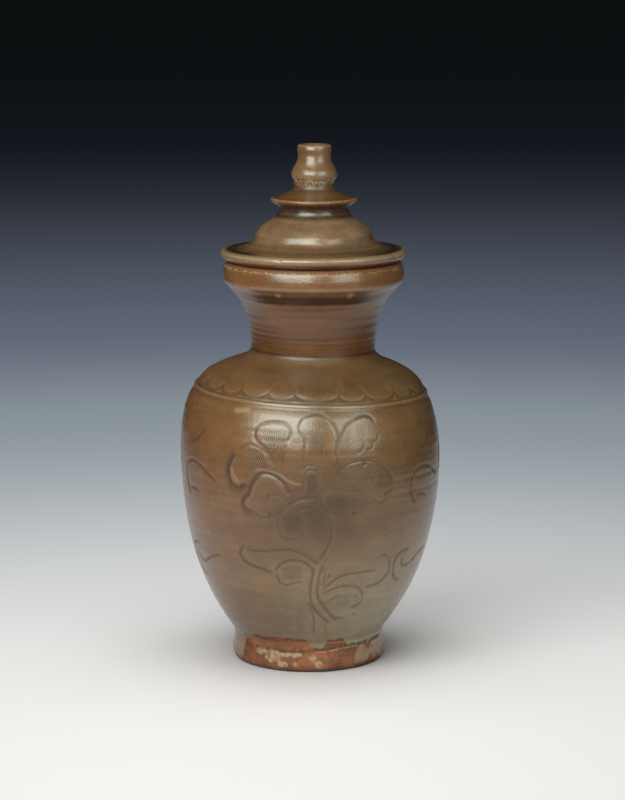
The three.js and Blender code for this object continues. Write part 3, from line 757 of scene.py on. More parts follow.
# The carved flower, read from the photo as millimetres round the belly and up from the foot
flower = {
    "repeats": 3,
    "reach": (-56, 104),       # millimetres to the left and right that one flower and its scrolls take
    "below": 160,              # and it stays below this height and outside this radius
    "outside": 43,
    "cuts": [     # standing side along the path, width, how far glaze thins on the edge, with a painted glint there, path
        # Upper left petals
        ("right", 2.0, 0.06, [(-20, 126), (-22.5, 133), (-27, 138), (-30.5, 140), (-32.3, 143.5),
         (-31.5, 147.5), (-25.6, 150.4), (-20, 151), (-15, 150.4), (-11.8, 148.2), (-11.2, 144.4),
         (-13.7, 140.6)]),
        ("right", 1.6, 0.06, [(-43, 134), (-40, 135.8), (-35, 137.8), (-30, 136.9), (-26.2, 135),
         (-23.7, 131.9), (-21.9, 127.5)]),
        ("left", 4.2, 0.22, [(-45, 132.5), (-48.2, 127.5), (-49.6, 122.5), (-49, 118), (-46.6, 114.8),
         (-43.1, 113.2), (-40, 114.6), (-36.4, 115.6)]),
        ("right", 3.6, 0.22, [(-34.4, 100.6), (-38.1, 101.2), (-40.2, 103.7), (-39.4, 106.9),
         (-36.4, 110), (-34.4, 115), (-31.4, 119.5), (-28.2, 121.9), (-24.5, 122.4), (-20, 121),
         (-15.5, 117.6), (-11.9, 112.5)]),
        ("left", 2.4, 0.06, [(-40.7, 102.2), (-39.2, 99.7), (-35.9, 99.2), (-32.7, 101.2)]),
        ("left", 2.4, 0.06, [(-32.7, 100.9), (-30.6, 97.9), (-25.8, 97.0), (-21.1, 98.4),
         (-18.8, 100.6)]),
        ("right", 1.9, 0.06, [(-25.0, 105.4), (-24.6, 108.7), (-21.4, 110.3), (-17.1, 109.5),
         (-14.5, 106.8)]),
        # Ball
        ("left", 2.1, 0.06, [(3, 108), (0, 108.7), (-5, 108.2), (-10, 106), (-15, 102), (-18, 97),
         (-18.7, 92), (-16.9, 87.4), (-13, 85), (-9, 85.2), (-5.6, 87.2), (-3.4, 88.6)]),
        ("left", 1.9, 0.12, [(-9.4, 99.6), (-7.4, 101.8), (-4.2, 103.4), (1.6, 104)]),
        ("both", 2.2, 0.06, [(1.9, 106.6), (5.6, 105.6), (8.1, 103.1), (10.4, 99.4), (12, 95), (12.8, 90),
         (12.4, 85), (10.9, 80.6), (8.4, 76.2), (6.2, 72.4)]),
        # Bud in the middle
        ("right", 1.6, 0.12, [(-3.2, 111), (-3.4, 117), (-2.8, 122.4), (-0.8, 124.8), (1.9, 125),
         (4.4, 123), (5.6, 119), (5.5, 111)]),
        ("both", 2.0, 0.06, [(-3.6, 123.7), (-2.8, 126.8), (0, 127.9), (2.6, 127.6), (5.3, 126.2),
         (6.9, 123.7)]),
        # Middle top petal
        ("right", 1.6, 0.06, [(-4, 124), (-3.1, 130), (-2.6, 136), (-2.2, 141.4), (-4.6, 145),
         (-6, 148.4), (-4.2, 152.8), (0, 155.4), (5, 155.8), (9.6, 153.6), (13.1, 150), (15.2, 146),
         (15.6, 141), (14.6, 134), (15, 130), (13.4, 126), (9.4, 123.6), (6.4, 123.2)]),
        # Upper right petal with its curls
        ("right", 2.0, 0.06, [(14.6, 131), (15.2, 136.2), (16.4, 141.4), (19.4, 145.6), (21.4, 149),
         (25, 151), (30, 153.2), (35, 153.8), (38.2, 152.4), (39.9, 149)]),
        ("left", 1.4, 0.06, [(34.6, 140.8), (37.2, 139.6), (40.2, 140.2), (41.2, 143.5)]),
        ("left", 1.4, 0.06, [(26, 134.2), (29, 134.8), (31.2, 137.4), (31.4, 140)]),
        ("left", 1.3, 0.06, [(32.2, 136.6), (34.6, 135.4), (37, 136.8), (37.4, 138.6)]),
        # Lower right petal
        ("right", 1.6, 0.06, [(12.5, 118.4), (15.4, 122.4), (19, 126.2), (24, 128.6), (29, 129.3),
         (34, 129.2), (38.5, 127.8), (43, 125.2), (47, 121.4), (49.6, 117.6), (50.4, 113.4)]),
        ("left", 2.4, 0.06, [(43.4, 109.6), (46.6, 109.8), (50.2, 113)]),
        ("right", 1.5, 0.06, [(25.2, 116.8), (29, 118.4), (33, 119.2), (36, 119.2), (36.3, 115.4)]),
        ("both", 1.7, 0.06, [(6, 114.2), (11, 114.6), (18, 114.2), (23, 112.4), (28, 113)]),
        # Scallops under it
        ("right", 1.7, 0.12, [(9.4, 104.4), (7, 107.6), (7, 110.4), (10, 112.5), (14.6, 112.8),
         (18.7, 111.6), (20.8, 109.4)]),
        ("left", 1.8, 0.06, [(9.6, 103.8), (12.6, 101.2), (16.9, 99.9), (20.4, 100.4), (22, 103)]),
        ("left", 1.8, 0.06, [(21.4, 101.4), (24.6, 101.8), (27.4, 103.6), (28.8, 106.4)]),
        ("left", 1.8, 0.06, [(28.8, 106), (31.2, 104.9), (34.6, 105), (37.4, 106.6), (38.4, 108.8)]),
        ("left", 1.8, 0.06, [(38.2, 107), (40.4, 104.9), (43.8, 105), (46.9, 107.4)]),
        # Frame line under the ring
        ("both", 1.4, 0.06, [(41, 155.2), (46.9, 156), (58, 156.8), (66, 156.6)]),
        # Stem
        ("left", 2.0, 0.12, [(2.6, 68.7), (2.6, 64), (1.6, 59.4), (1.0, 53.7), (1.2, 48.7), (3.1, 43.1),
         (6.9, 39.2), (10.4, 36), (14, 33.6), (17, 31)]),
        ("right", 2.1, 0.12, [(8.4, 69.6), (7, 66.2), (5.8, 62.4), (5.2, 58), (5.0, 53.6), (5.6, 49.4),
         (7.8, 45.6), (11, 42), (14, 38.8), (17.6, 35.8), (23, 32.5)]),
        ("left", 1.5, 0.06, [(-1.4, 46.4), (1, 42.6), (2.9, 38.7), (4.3, 34), (4.8, 28.6), (4.6, 24)]),
        ("both", 1.3, 0.06, [(9.8, 68), (9.6, 60), (9.2, 53)]),
        ("both", 1.4, 0.06, [(12.6, 31.4), (15, 26.4), (18.6, 21.4)]),
        # Left leaf and its lobe
        ("left", 2.1, 0.06, [(5.4, 70), (1.2, 72.6), (-2.5, 75), (-7, 77), (-12, 78), (-19, 77.7),
         (-28, 76.6), (-36, 76.3), (-40.6, 76.6)]),
        ("left", 2.5, 0.12, [(-40.4, 78.4), (-43.4, 76.4), (-44.4, 73.4), (-42.8, 70.4), (-39, 68.2),
         (-34, 66.9), (-29, 65.7), (-23.4, 64.2)]),
        ("both", 1.5, 0.06, [(-40, 77.2), (-37.4, 78.6), (-34.4, 78.4)]),
        ("right", 1.9, 0.06, [(-22, 64.4), (-19.6, 67.6), (-16.4, 70.2), (-12.4, 71.7), (-7.6, 71.8),
         (-3, 70.6), (0.2, 68.2), (2.1, 65)]),
        ("left", 1.7, 0.06, [(-20.4, 63.4), (-20.2, 60.4), (-18.2, 57.8), (-14.6, 56.9), (-11.6, 58),
         (-8.7, 58.9), (-4.4, 58.9)]),
        # Right leaf
        ("right", 1.8, 0.06, [(9.6, 53.4), (13.1, 57), (17, 60), (21.5, 62), (27, 62.8), (34, 63),
         (40, 63.3), (45, 62.8)]),
        ("left", 1.9, 0.06, [(38.7, 54.2), (44, 54.1), (49, 55.2), (53, 57.7), (55.7, 61.4), (55, 66),
         (52.8, 69)]),
        ("both", 2.2, 0.06, [(46.4, 71.4), (49.4, 72.4), (52, 71.2)]),
        # Curled leaf at the stem's foot
        ("right", 1.7, 0.06, [(10, 50.6), (13, 52.6), (17, 54.3), (22, 55.2), (27.5, 55.2), (32.4, 54),
         (36.4, 51.2), (38.7, 47), (38.2, 43.6), (35, 41.9), (31.2, 42)]),
        ("left", 1.5, 0.06, [(11.6, 46), (15, 47.4), (18.6, 49.2), (21.4, 50.8)]),
        ("both", 1.4, 0.06, [(31, 46.4), (33.4, 48), (35.6, 46.4), (34.2, 44)]),
        ("both", 1.7, 0.06, [(20, 36), (24, 34.4), (29, 34.8)]),
        # Scrolls between the flowers
        ("left", 2.2, 0.12, [(72, 71.6), (66.4, 72.2), (62.2, 70.6), (60.2, 67), (60.4, 62.4), (62.4, 58),
         (66.4, 54.9), (71, 53.8)]),
        ("both", 2.0, 0.06, [(97, 69.4), (88, 67.7), (80.7, 64.9), (74, 62.4), (69, 62.8), (66.6, 65.6),
         (67.4, 68.6)]),
        ("right", 2.2, 0.06, [(71, 100.4), (66.8, 107), (65.7, 113), (67.9, 117.7), (72.4, 120.1),
         (79, 120.6), (85.4, 119), (92, 115.6), (97.9, 112)]),
        ("left", 1.7, 0.06, [(70.4, 104), (74, 105.2), (78.6, 104.8), (82.4, 103)]),
        ("both", 1.9, 0.06, [(75, 131.4), (80.7, 133.4), (85, 136.3), (88.6, 139.6)]),
    ],
    # Painted glints: pale lines along the edges of the bold cuts
    "glints": [
        [(-32.6, 122.4), (-30, 124.2), (-25, 124.4), (-20, 123.3), (-16, 121.6), (-12.4, 119), (-8, 117.4),
         (-3.8, 117)],
        [(-47, 126.2), (-46.6, 121.9), (-44.2, 118.2), (-40.4, 115.9)],
    ],
    "glintWidth": 0.55,
    "glintStrength": 0.85,
    "pitDepth": 0.5,
    "pits": [(-24.4, 110, 1.2), (-23.7, 98.7, 1.6), (-12, 112.6, 1.8), (26, 99.6, 1.8), (12.6, 62.4, 0.9),
             (36, 36, 0.8), (31.6, 127.4, 1.1)],
    "combs": [     # lines, strength, the edge where they start and the edge where they end
        (11, 1.0, ((-29, 148.4), (-12.8, 146.4)), ((-20.4, 123.6), (-14.6, 125))),
        (9, 1.0, ((-39.6, 136.2), (-28.2, 136.4)), ((-31.8, 121.4), (-22.6, 123.4))),
        (9, 1.0, ((-15.8, 99.6), (-6.4, 101)), ((-14.2, 87), (-5.6, 87.6))),
        (6, 0.9, ((-2.4, 123), (4.4, 123)), ((-2.6, 107), (5.2, 107))),
        (8, 0.9, ((-4.4, 149.6), (7.2, 149)), ((2, 131), (7.4, 131))),
        (5, 0.6, ((17.6, 146), (24, 148)), ((16.8, 131.4), (22.4, 131.4))),
        (4, 0.7, ((27.6, 150), (33, 150.4)), ((28.8, 138.4), (32.4, 141))),
        (8, 0.8, ((40.4, 122), (49, 120.4)), ((40.6, 112), (49, 112.6))),
        (6, 0.9, ((12, 110.6), (19.6, 109.4)), ((15, 102), (20.8, 102))),
        (4, 0.7, ((23.6, 108), (29, 108.6)), ((23.2, 102.6), (27.4, 104.6))),
        (12, 1.0, ((-17.4, 68.6), (-5, 70)), ((-15.6, 59.2), (-5, 59.6))),
        (5, 0.6, ((-34.6, 75), (-29, 75)), ((-33.4, 68.4), (-28.6, 67.6))),
        (8, 0.8, ((19, 50.8), (30.4, 51)), ((21, 41.6), (29, 41.6))),
        (15, 0.4, ((-35, 39), (-13, 40)), ((-31, 21.6), (-14.6, 21.6))),
        (5, 0.5, ((-9, 45), (-3.8, 45)), ((-10.4, 23), (-4.8, 23))),
        (8, 0.7, ((69, 117), (80, 118)), ((72, 107), (80, 107.6))),
    ],
}

# The ring of petals on the shoulder; the first petal lies behind, the next in front, and so on
shoulder = {
    "notches": [-53, -38, -23, -7.5, 13.5, 29.5, 47, 63],     # degrees to the right
    "petalsBehind": 15,
    "stray": 0.08,         # of their spacing, for the notches behind
    "foot": 2.9,           # millimetres up the shoulder from the ring's crest
    "notchTop": 8.6,
    "spread": 3.3,         # degrees that a front petal widens by on each side
    "spreadTop": 16,
    "round": 2.3,
    "slope": (3.4, 1.4),         # millimetres that it runs down from the petal's edge, and up
    "clearOfRing": (0.8, 1.2),   # the cutting starts this far above the ring, and deepens over this much
    "pitFrom": (0.55, 0.35),     # deeper towards the notches: from this share of half a petal, over this much
    "pitBetween": 0.55,          # depth away from the notches
    "pitReach": (0.5, 3),        # millimetres above the ring, and above the notches, that it lies between
    "crest": (1.5, 0.8, 0.1),    # thin glaze, also a painted glint, above the edge: how far up, its spread and strength
    "grooveStart": 2,            # the grooves deepen over this much below the notches' top
    "grooveEnd": (1, 7),         # and end this far over the petals' widest, after fading over this much
    "edgeWidth": 1.1,
    "stepWidth": 1.6,
    "pitDepth": 0.26,
    "edgeDepth": 0.26,
    "stepDepth": 0.16,
    "edgePool": 0.8,
    "combPitch": 0.93,     # degrees
    "combReach": (24, 12),       # how far up the combing goes, and over how much it fades
    "combMargin": 2,
    "combFrom": (1.2, 1.5),
    "combAcross": (0.9, 0.15),
    "combStrength": 0.9,
    "combFaint": 0.4,
    "combBest": (-24, 31),       # degrees between which the combing is strong
    "combSoft": 4,
}


def petalNotches():
    # Angles of the notches between the petals: those seen in the photo, and even ones behind
    random = np.random.default_rng(shoulder["petalsBehind"])
    seen, behind = shoulder["notches"], shoulder["petalsBehind"]
    gap = (seen[0] + 360 - seen[-1]) / behind
    stray = shoulder["stray"]
    return seen + [seen[-1] + gap * (i + 1 + random.uniform(-stray, stray)) for i in range(behind - 1)]


def shoulderPetals(surface, upShoulder):
    # Rounded petals whose lower ends stand free of a cut slope above the ring
    degrees = surface["degrees"] + 0 * upShoulder
    foot, top, spreadTop = shoulder["foot"], shoulder["notchTop"], shoulder["spreadTop"]
    widen = shoulder["spread"] * softStep((upShoulder - foot) / (spreadTop - foot))
    toRight, toLeft = np.full(degrees.shape, 999.0), np.full(degrees.shape, 999.0)
    inFront = np.zeros(degrees.shape)
    for k, notch in enumerate(petalNotches()):
        lean = widen if k % 2 == 0 else -widen
        away = (degrees - notch - lean + 180) % 360 - 180
        right = (away >= 0) & (away < toLeft)
        toLeft = np.where(right, away, toLeft)
        inFront = np.where(right, k % 2, inFront)
        toRight = np.where((away < 0) & (-away < toRight), -away, toRight)
    width = toLeft + toRight
    across = (toLeft - toRight) / width
    rounding = 1 - np.sqrt(np.clip(1 - np.abs(across) ** shoulder["round"], 0, 1))
    edge = foot + (top - foot) * rounding
    below = edge - upShoulder

    # The slope under each petal, deepest at the notches
    down, up = shoulder["slope"]
    start, deepening = shoulder["clearOfRing"]
    slope = softStep(np.where(below > 0, 1 - below / down, 1 + below / up))
    slope = slope * softStep((upShoulder - start) / deepening)
    low, high = shoulder["pitReach"]
    near = (upShoulder > low) & (upShoulder < top + high)
    start, deepening = shoulder["pitFrom"]
    atNotch = softStep((np.abs(across) - start) / deepening)
    pit = slope * near * (shoulder["pitBetween"] + (1 - shoulder["pitBetween"]) * atNotch)
    above, spread, thinning = shoulder["crest"]
    layOn(surface, "thin", thinning * (bell(below, -above, spread) * near))

    # The groove between two petals, with a step down to the one behind
    aside = np.radians(np.minimum(toLeft, toRight)) * surface["radius"]
    deepening, (beyond, fading) = shoulder["grooveStart"], shoulder["grooveEnd"]
    fade = softStep((upShoulder - top + deepening) / deepening)
    fade = fade * softStep((spreadTop + beyond - upShoulder) / fading)
    groove = softStep(1 - aside / shoulder["edgeWidth"]) * fade
    step = np.exp(-aside / shoulder["stepWidth"]) * fade * (1 - inFront)
    cut = np.maximum(shoulder["pitDepth"] * pit, shoulder["edgeDepth"] * groove)
    surface["cut"] += np.maximum(cut, shoulder["stepDepth"] * step)
    layOn(surface, "pool", np.maximum(pit, shoulder["edgePool"] * groove))

    # Combing up the petals
    start, growing = shoulder["combFrom"]
    combing = softStep((upShoulder - edge - start) / growing)
    reach, fading = shoulder["combReach"]
    combing = combing * softStep((reach - upShoulder) / fading)
    start, fading = shoulder["combAcross"]
    combing = combing * softStep((start - np.abs(across)) / fading)
    (low, high), soft = shoulder["combBest"], shoulder["combSoft"]
    best = softStep((degrees - low + soft) / (2 * soft)) * softStep((high + soft - degrees) / (2 * soft))
    combing = combing * (shoulder["combFaint"] + (1 - shoulder["combFaint"]) * best)
    combed = (upShoulder > 0) & (upShoulder < reach + shoulder["combMargin"])
    lines = across * width / 2 / shoulder["combPitch"]
    surface["marks"]["combTurn"] = np.where(combed, lines, surface["marks"]["combTurn"])
    layOn(surface, "combMask", shoulder["combStrength"] * combing)


def flowerBand(surface, piece):
    # The flower and its scrolls, cut once for the front and repeated round the body
    columns = piece["columns"]
    height, radius = surface["height"][:, 0], surface["radius"][:, 0]
    onWall = surface["outer"][:, 0] & (height < flower["below"]) & (radius > flower["outside"])
    rows = np.flatnonzero(onWall)
    left, right = flower["reach"]
    belt = surface["theta"][0] * piece["belly"]
    reach = np.flatnonzero((belt > left) & (belt < right))
    shape = (len(rows), len(reach))
    height, theta = height[rows][:, None], surface["theta"][:, reach]
    tilt = tiltAt(height) * radius[rows][:, None] * np.sin(theta)
    across = np.broadcast_to(theta * piece["belly"], shape).ravel()
    up = (height - tilt).ravel()
    layers = {kind: np.zeros(across.shape) for kind in ("cut", "pool", "thin", "combTurn", "combMask")}
    for cut in flower["cuts"]:
        carve(layers, across, up, cut)
    # painted glints along the bold cuts
    for crest in flower["glints"]:
        path = curveThrough(crest, knife["spacing"])
        side, travelled, length = pathDistance(path, across, up)
        fade = softStep(travelled / knife["runOut"]) * softStep((length - travelled) / knife["runOut"])
        strength = flower["glintStrength"] * bell(side, 0, flower["glintWidth"]) * fade
        layers["thin"] = np.maximum(layers["thin"], strength)
    for x, y, size in flower["pits"]:
        hole = bell(np.hypot(across - x, up - y), 0, size)
        layers["cut"] = np.maximum(layers["cut"], flower["pitDepth"] * hole)
        layers["pool"] = np.maximum(layers["pool"], hole)
    for patch in flower["combs"]:
        comb(layers, across, up, patch)
    layers["combMask"] *= 1 - np.clip(layers["pool"] * comber["stopped"], 0, 1)
    layers = {kind: value.reshape(shape) for kind, value in layers.items()}
    marks = surface["marks"]
    for turn in range(flower["repeats"]):
        target = np.ix_(rows, (reach + turn * columns // flower["repeats"]) % columns)
        combed = layers["combMask"] > 0
        marks["combTurn"][target] = np.where(combed, layers["combTurn"], marks["combTurn"][target])
        surface["cut"][target] = np.maximum(surface["cut"][target], layers["cut"])
        for kind in ("pool", "thin", "combMask"):
            marks[kind][target] = np.maximum(marks[kind][target], layers[kind])


# Glaze: one recipe, with tones for each part of the vase

glaze = {
    "rusty": (138, 74, 42),
    "speck": (40, 26, 16),
    "speckSize": 0.16,               # as a share of the space between them
    "crawl": (168, 148, 122),
    "dry": (140, 122, 92),
    "worn": (116, 82, 60),
    "mottle": ((0.89, 0.88, 0.87), (1.09, 1.09, 1.09)),     # shares of the tone, dark and light
    "bands": ((0.86, 0.85, 0.85), (1.1, 1.1, 1.1)),
    "streaks": ((0.8, 0.78, 0.76), (1.16, 1.15, 1.14)),
    "combDark": 0.68,
    "rough": 0.17,
    "coat": 0.34,
    "coatRough": 0.16,
    "ior": 1.52,
    "wornBand": (0.0105, 0.014),     # metres up, above which the glaze is whole
}

# How fine each grain in glaze and clay is, in grains to the metre
grains = {
    "clouds": 14, "hatchStray": 25, "bands": 34, "hatchPatches": 46, "clayClouds": 70, "mottle": 95,
    "sparse": 120, "stains": 130, "dry": 160, "flecks": 190, "glazeEdge": 210, "patchy": 240,
    "streaks": 260, "uneven": 330, "ragged": 330, "specks": 420, "skin": 620, "crawl": 900, "grit": 1100,
}

# Between which levels the tone changes, of a grain or of what stands beside it
levels = {
    "rightSide": (-0.05, 0.04),     # metres to the right
    "warmSide": (0.3, 0.8),
    "mottle": (0.3, 0.75),
    "bands": (0.35, 0.65),
    "streaks": (0.3, 0.7),
    "glazeEnd": (0.68, 0.78),
    "rimStart": (0.6, 0.72),
    "rimEnd": (0.78, 0.92),
    "dry": (0.42, 0.62),
    "combLine": (-0.35, 0.9),
    "patchy": (0.36, 0.62),
    "sparse": (0.52, 0.7),
    "crawl": (0.5, 0.62),
    "hatchPatches": (0.38, 0.52),
    "hatchLine": (-0.1, 0.9),
    "clayClouds": (0.35, 0.7),
    "stains": (0.5, 0.7),
    "flecks": (0.64, 0.72),
    "buff": (0.64, 0.92),
}

# Metres that each stands out from the wall, or in where it is below 0, and how strongly it shows
relief = {
    "comb": (-0.00008, 1.0),
    "streaks": (0.0001, 0.5),
    "skin": (0.00016, 0.8),
    "specks": (-0.0002, 1.0),
    "grit": (0.0005, 1.0),
    "bare": (-0.00025, 1.0),
}


def glazeGround(tree, spot, axes, look):
    # The fired tone with its clouds and mottling, and the bands and streaks left by throwing
    low, high = tone(*look["low"]), tone(*look["high"])
    if "lowRightSheen" in look:     # painted light: paler low down on the right side, as if lit by the bright floor
        low = stain(tree, low, look["lowRightSheen"], rise(tree, axes["X"], *levels["rightSide"]))
    colour = blendTone(tree, rise(tree, axes["Z"], *look["between"]), low, high)

    # Warmer to the left, greyer to the right
    clouds = grain(tree, spot, grains["clouds"], 3, 0.55, 0.6)
    side = timesPlus(tree, axes["X"], -look.get("leftWarm", 4.0), clouds)
    warmer = blendTone(tree, 0.5, colour, tone(*look["warm"]))
    colour = blendTone(tree, rise(tree, side, *levels["warmSide"]), colour, warmer)
    mottle = grain(tree, spot, grains["mottle"], 4, 0.65)
    colour = grade(tree, colour, rise(tree, mottle, *levels["mottle"]), glaze["mottle"])
    bands = grain(tree, place(tree, (0.25, 0.25, 1.0)), grains["bands"], 3, 0.6)
    colour = grade(tree, colour, rise(tree, bands, *levels["bands"]), glaze["bands"])
    streaks = grain(tree, place(tree, (0.12, 0.12, 1.0)), grains["streaks"], 3, 0.6)
    streaked = grade(tree, colour, rise(tree, streaks, *levels["streaks"]), glaze["streaks"])
    return blendTone(tree, look.get("streaks", 0.4), colour, streaked), mottle, streaks


def bareFoot(tree, spot, height, colour, uneven, pool):
    # The glaze wears thin above the foot and ends in a ragged dry edge on the bare clay
    covered = timesPlus(tree, grain(tree, spot, grains["glazeEdge"], 4, 0.7), 0.5, attribute(tree, "cover"))
    bare = opposite(tree, rise(tree, covered, *levels["glazeEnd"]))
    worn = opposite(tree, rise(tree, height, *glaze["wornBand"]))
    worn = times(tree, worn, timesPlus(tree, uneven, 0.9, 0.2))
    worn = times(tree, worn, opposite(tree, pool, clamp=True))
    colour = stain(tree, colour, glaze["worn"], worn)
    outside, inside = (rise(tree, covered, *levels[kind]) for kind in ("rimStart", "rimEnd"))
    rim = sums(tree, "SUBTRACT", outside, inside)
    dry = times(tree, rim, rise(tree, grain(tree, spot, grains["dry"], 2), *levels["dry"]))
    colour = blendTone(tree, bare, colour, clayTone(tree, spot, height))
    return stain(tree, colour, glaze["dry"], dry, 0.3), bare


def glazeMaterial(name, look):
    material, tree, surface = newMaterial(name)
    spot = place(tree)
    axes = axesOf(tree, spot)
    colour, mottle, streaks = glazeGround(tree, spot, axes, look)

    # Glaze pools dark in the cuts and thins to buff on the edges; the same dark mark is also painted shade in
    # gaps, creases and hollows, and the pale mark is also painted glints along cuts
    pool, thin = attribute(tree, "pool"), attribute(tree, "thin")
    combLine = sums(tree, "SINE", times(tree, attribute(tree, "combTurn"), 2 * math.pi))
    combLine = times(tree, rise(tree, combLine, *levels["combLine"]), attribute(tree, "combMask"))
    if "hatch" in look:
        combLine = sums(tree, "MAXIMUM", combLine, hatching(tree, axes, look["hatch"]))
    uneven = grain(tree, spot, grains["uneven"], 2, 0.6)
    poolAndShadeShare = times(tree, pool, timesPlus(tree, uneven, 0.5, 0.6), clamp=True)
    # painted shade as well as pooled glaze, wherever the dark mark lies
    colour = stain(tree, colour, look["pooledAndShaded"], poolAndShadeShare)
    colour = stain(tree, colour, look["pooledAndShaded"], combLine, glaze["combDark"])
    # thinned glaze on edges, and painted glints along the cuts
    thinAndGlintShare = times(tree, thin, timesPlus(tree, uneven, 0.9, 0.35), clamp=True)
    colour = stain(tree, colour, look["thinnedAndGlint"], thinAndGlintShare)
    patchy = rise(tree, grain(tree, spot, grains["patchy"], 3, 0.65), *levels["patchy"])
    rust = times(tree, attribute(tree, "rust"), timesPlus(tree, patchy, 0.7, 0.3), clamp=True)
    colour = stain(tree, colour, glaze["rusty"], rust)

    # Iron specks, and pinholes where the glaze crawled; on the knob's lower part the same pale marks are also
    # painted glints
    sparse = rise(tree, grain(tree, spot, grains["sparse"], 2), *levels["sparse"])
    speck = sums(tree, "LESS_THAN", dots(tree, spot, grains["specks"]), glaze["speckSize"])
    speck = times(tree, speck, sparse)
    colour = stain(tree, colour, glaze["speck"], speck, 0.6)
    holes = rise(tree, grain(tree, spot, grains["crawl"], 2, 0.7), *levels["crawl"])
    crawl = times(tree, attribute(tree, "crawl"), holes)
    colour = stain(tree, colour, glaze["crawl"], crawl)

    # Satin gloss, duller where the glaze is thin, pooled or crawled, and where these marks stand for painted
    # shade or glints
    rough = timesPlus(tree, mottle, 0.2, glaze["rough"])
    for share, duller in ((thinAndGlintShare, 0.1), (crawl, 0.3), (poolAndShadeShare, look.get("poolDull", 0.35))):
        rough = sums(tree, "ADD", rough, times(tree, share, duller))
    coat = glaze["coat"]
    for share, lost in ((crawl, 0.3), (poolAndShadeShare, look.get("poolCoat", 0.34))):
        coat = sums(tree, "SUBTRACT", coat, times(tree, share, lost), clamp=True)
    raised = [("comb", combLine), ("streaks", streaks), ("skin", grain(tree, spot, grains["skin"], 3, 0.6)),
              ("specks", speck)]
    if look.get("bareFoot"):
        colour, bare = bareFoot(tree, spot, axes["Z"], colour, uneven, pool)
        rough = sums(tree, "ADD", rough, times(tree, bare, 0.4))
        coat = times(tree, coat, opposite(tree, bare))
        raised.append(("grit", times(tree, bare, grain(tree, spot, grains["grit"], 4, 0.75))))
        raised.append(("bare", bare))
    normal = None
    for kind, height in raised:
        distance, strength = relief[kind]
        normal = dent(tree, height, distance, normal, strength)
    plug(tree, surface.inputs["Base Color"], colour)
    plug(tree, surface.inputs["Roughness"], rough)
    plug(tree, surface.inputs["Coat Weight"], coat)
    surface.inputs["Coat Roughness"].default_value = glaze["coatRough"]
    surface.inputs["IOR"].default_value = glaze["ior"]
    tree.links.new(normal, surface.inputs["Normal"])
    return material


def hatching(tree, axes, hatch):
    # Two sets of fine combed strokes that cross, in uneven patches
    angle = sums(tree, "ARCTAN2", axes["X"], times(tree, axes["Y"], -1.0))
    stray = timesPlus(tree, grain(tree, place(tree), grains["hatchStray"], 2), 9.0, -4.5)
    level = rise(tree, axes["Z"], *hatch["from"])
    top = opposite(tree, rise(tree, axes["Z"], *hatch["upTo"]))
    strokes = []
    for i, slant in enumerate(hatch["slants"]):
        lines = timesPlus(tree, axes["Z"], slant, times(tree, angle, hatch["lines"]))
        wave = sums(tree, "SINE", sums(tree, "ADD", lines, stray))
        patch = grain(tree, place(tree, shift=(0.3 * i, 0.17 * i, 0.1)), grains["hatchPatches"], 2)
        share = times(tree, times(tree, rise(tree, patch, *levels["hatchPatches"]), level), top)
        strokes.append(times(tree, rise(tree, wave, *levels["hatchLine"]), share))
    return sums(tree, "MAXIMUM", *strokes)


clay = {
    "pale": (136, 73, 37),
    "deep": (86, 43, 21),
    "stain": (54, 36, 27),
    "buff": (158, 139, 112),
    "edge": (60, 48, 52),
    "edgeBand": (0.0006, 0.0026),     # metres up, over which the greyer resting edge ends
    "rough": 0.72,
    "grit": 0.0004,
}


def clayTone(tree, spot, height):
    # Fired red clay with rubbed buff flecks, dark stains and a greyer resting edge
    clouds = grain(tree, spot, grains["clayClouds"], 5, 0.75, 0.5)
    colour = stain(tree, tone(*clay["deep"]), clay["pale"], rise(tree, clouds, *levels["clayClouds"]))
    stains = rise(tree, grain(tree, spot, grains["stains"], 4, 0.7), *levels["stains"])
    colour = stain(tree, colour, clay["stain"], stains, 0.6)
    squat = place(tree, (1, 1, 1.5))
    flecks = rise(tree, grain(tree, squat, grains["flecks"], 3, 0.7), *levels["flecks"])
    colour = stain(tree, colour, clay["buff"], flecks, 0.5)
    ragged = grain(tree, squat, grains["ragged"], 5, 0.8)
    ragged = timesPlus(tree, attribute(tree, "buff"), 0.4, ragged)
    colour = stain(tree, colour, clay["buff"], rise(tree, ragged, *levels["buff"]), 0.7)
    # painted shade with pooled glaze: the dark crease mark darkens the clay
    crease = times(tree, attribute(tree, "pool"), timesPlus(tree, clouds, 0.7, 0.1), clamp=True)
    colour = stain(tree, colour, clay["stain"], crease)
    edge = opposite(tree, rise(tree, height, *clay["edgeBand"]))
    return stain(tree, colour, clay["edge"], edge, 0.8)


def clayMaterial(name):
    material, tree, surface = newMaterial(name)
    spot = place(tree)
    plug(tree, surface.inputs["Base Color"], clayTone(tree, spot, axesOf(tree, spot)["Z"]))
    fine = grain(tree, spot, grains["grit"], 4, 0.75)
    plug(tree, surface.inputs["Roughness"], timesPlus(tree, fine, 0.15, clay["rough"]))
    tree.links.new(dent(tree, fine, clay["grit"]), surface.inputs["Normal"])
    return material


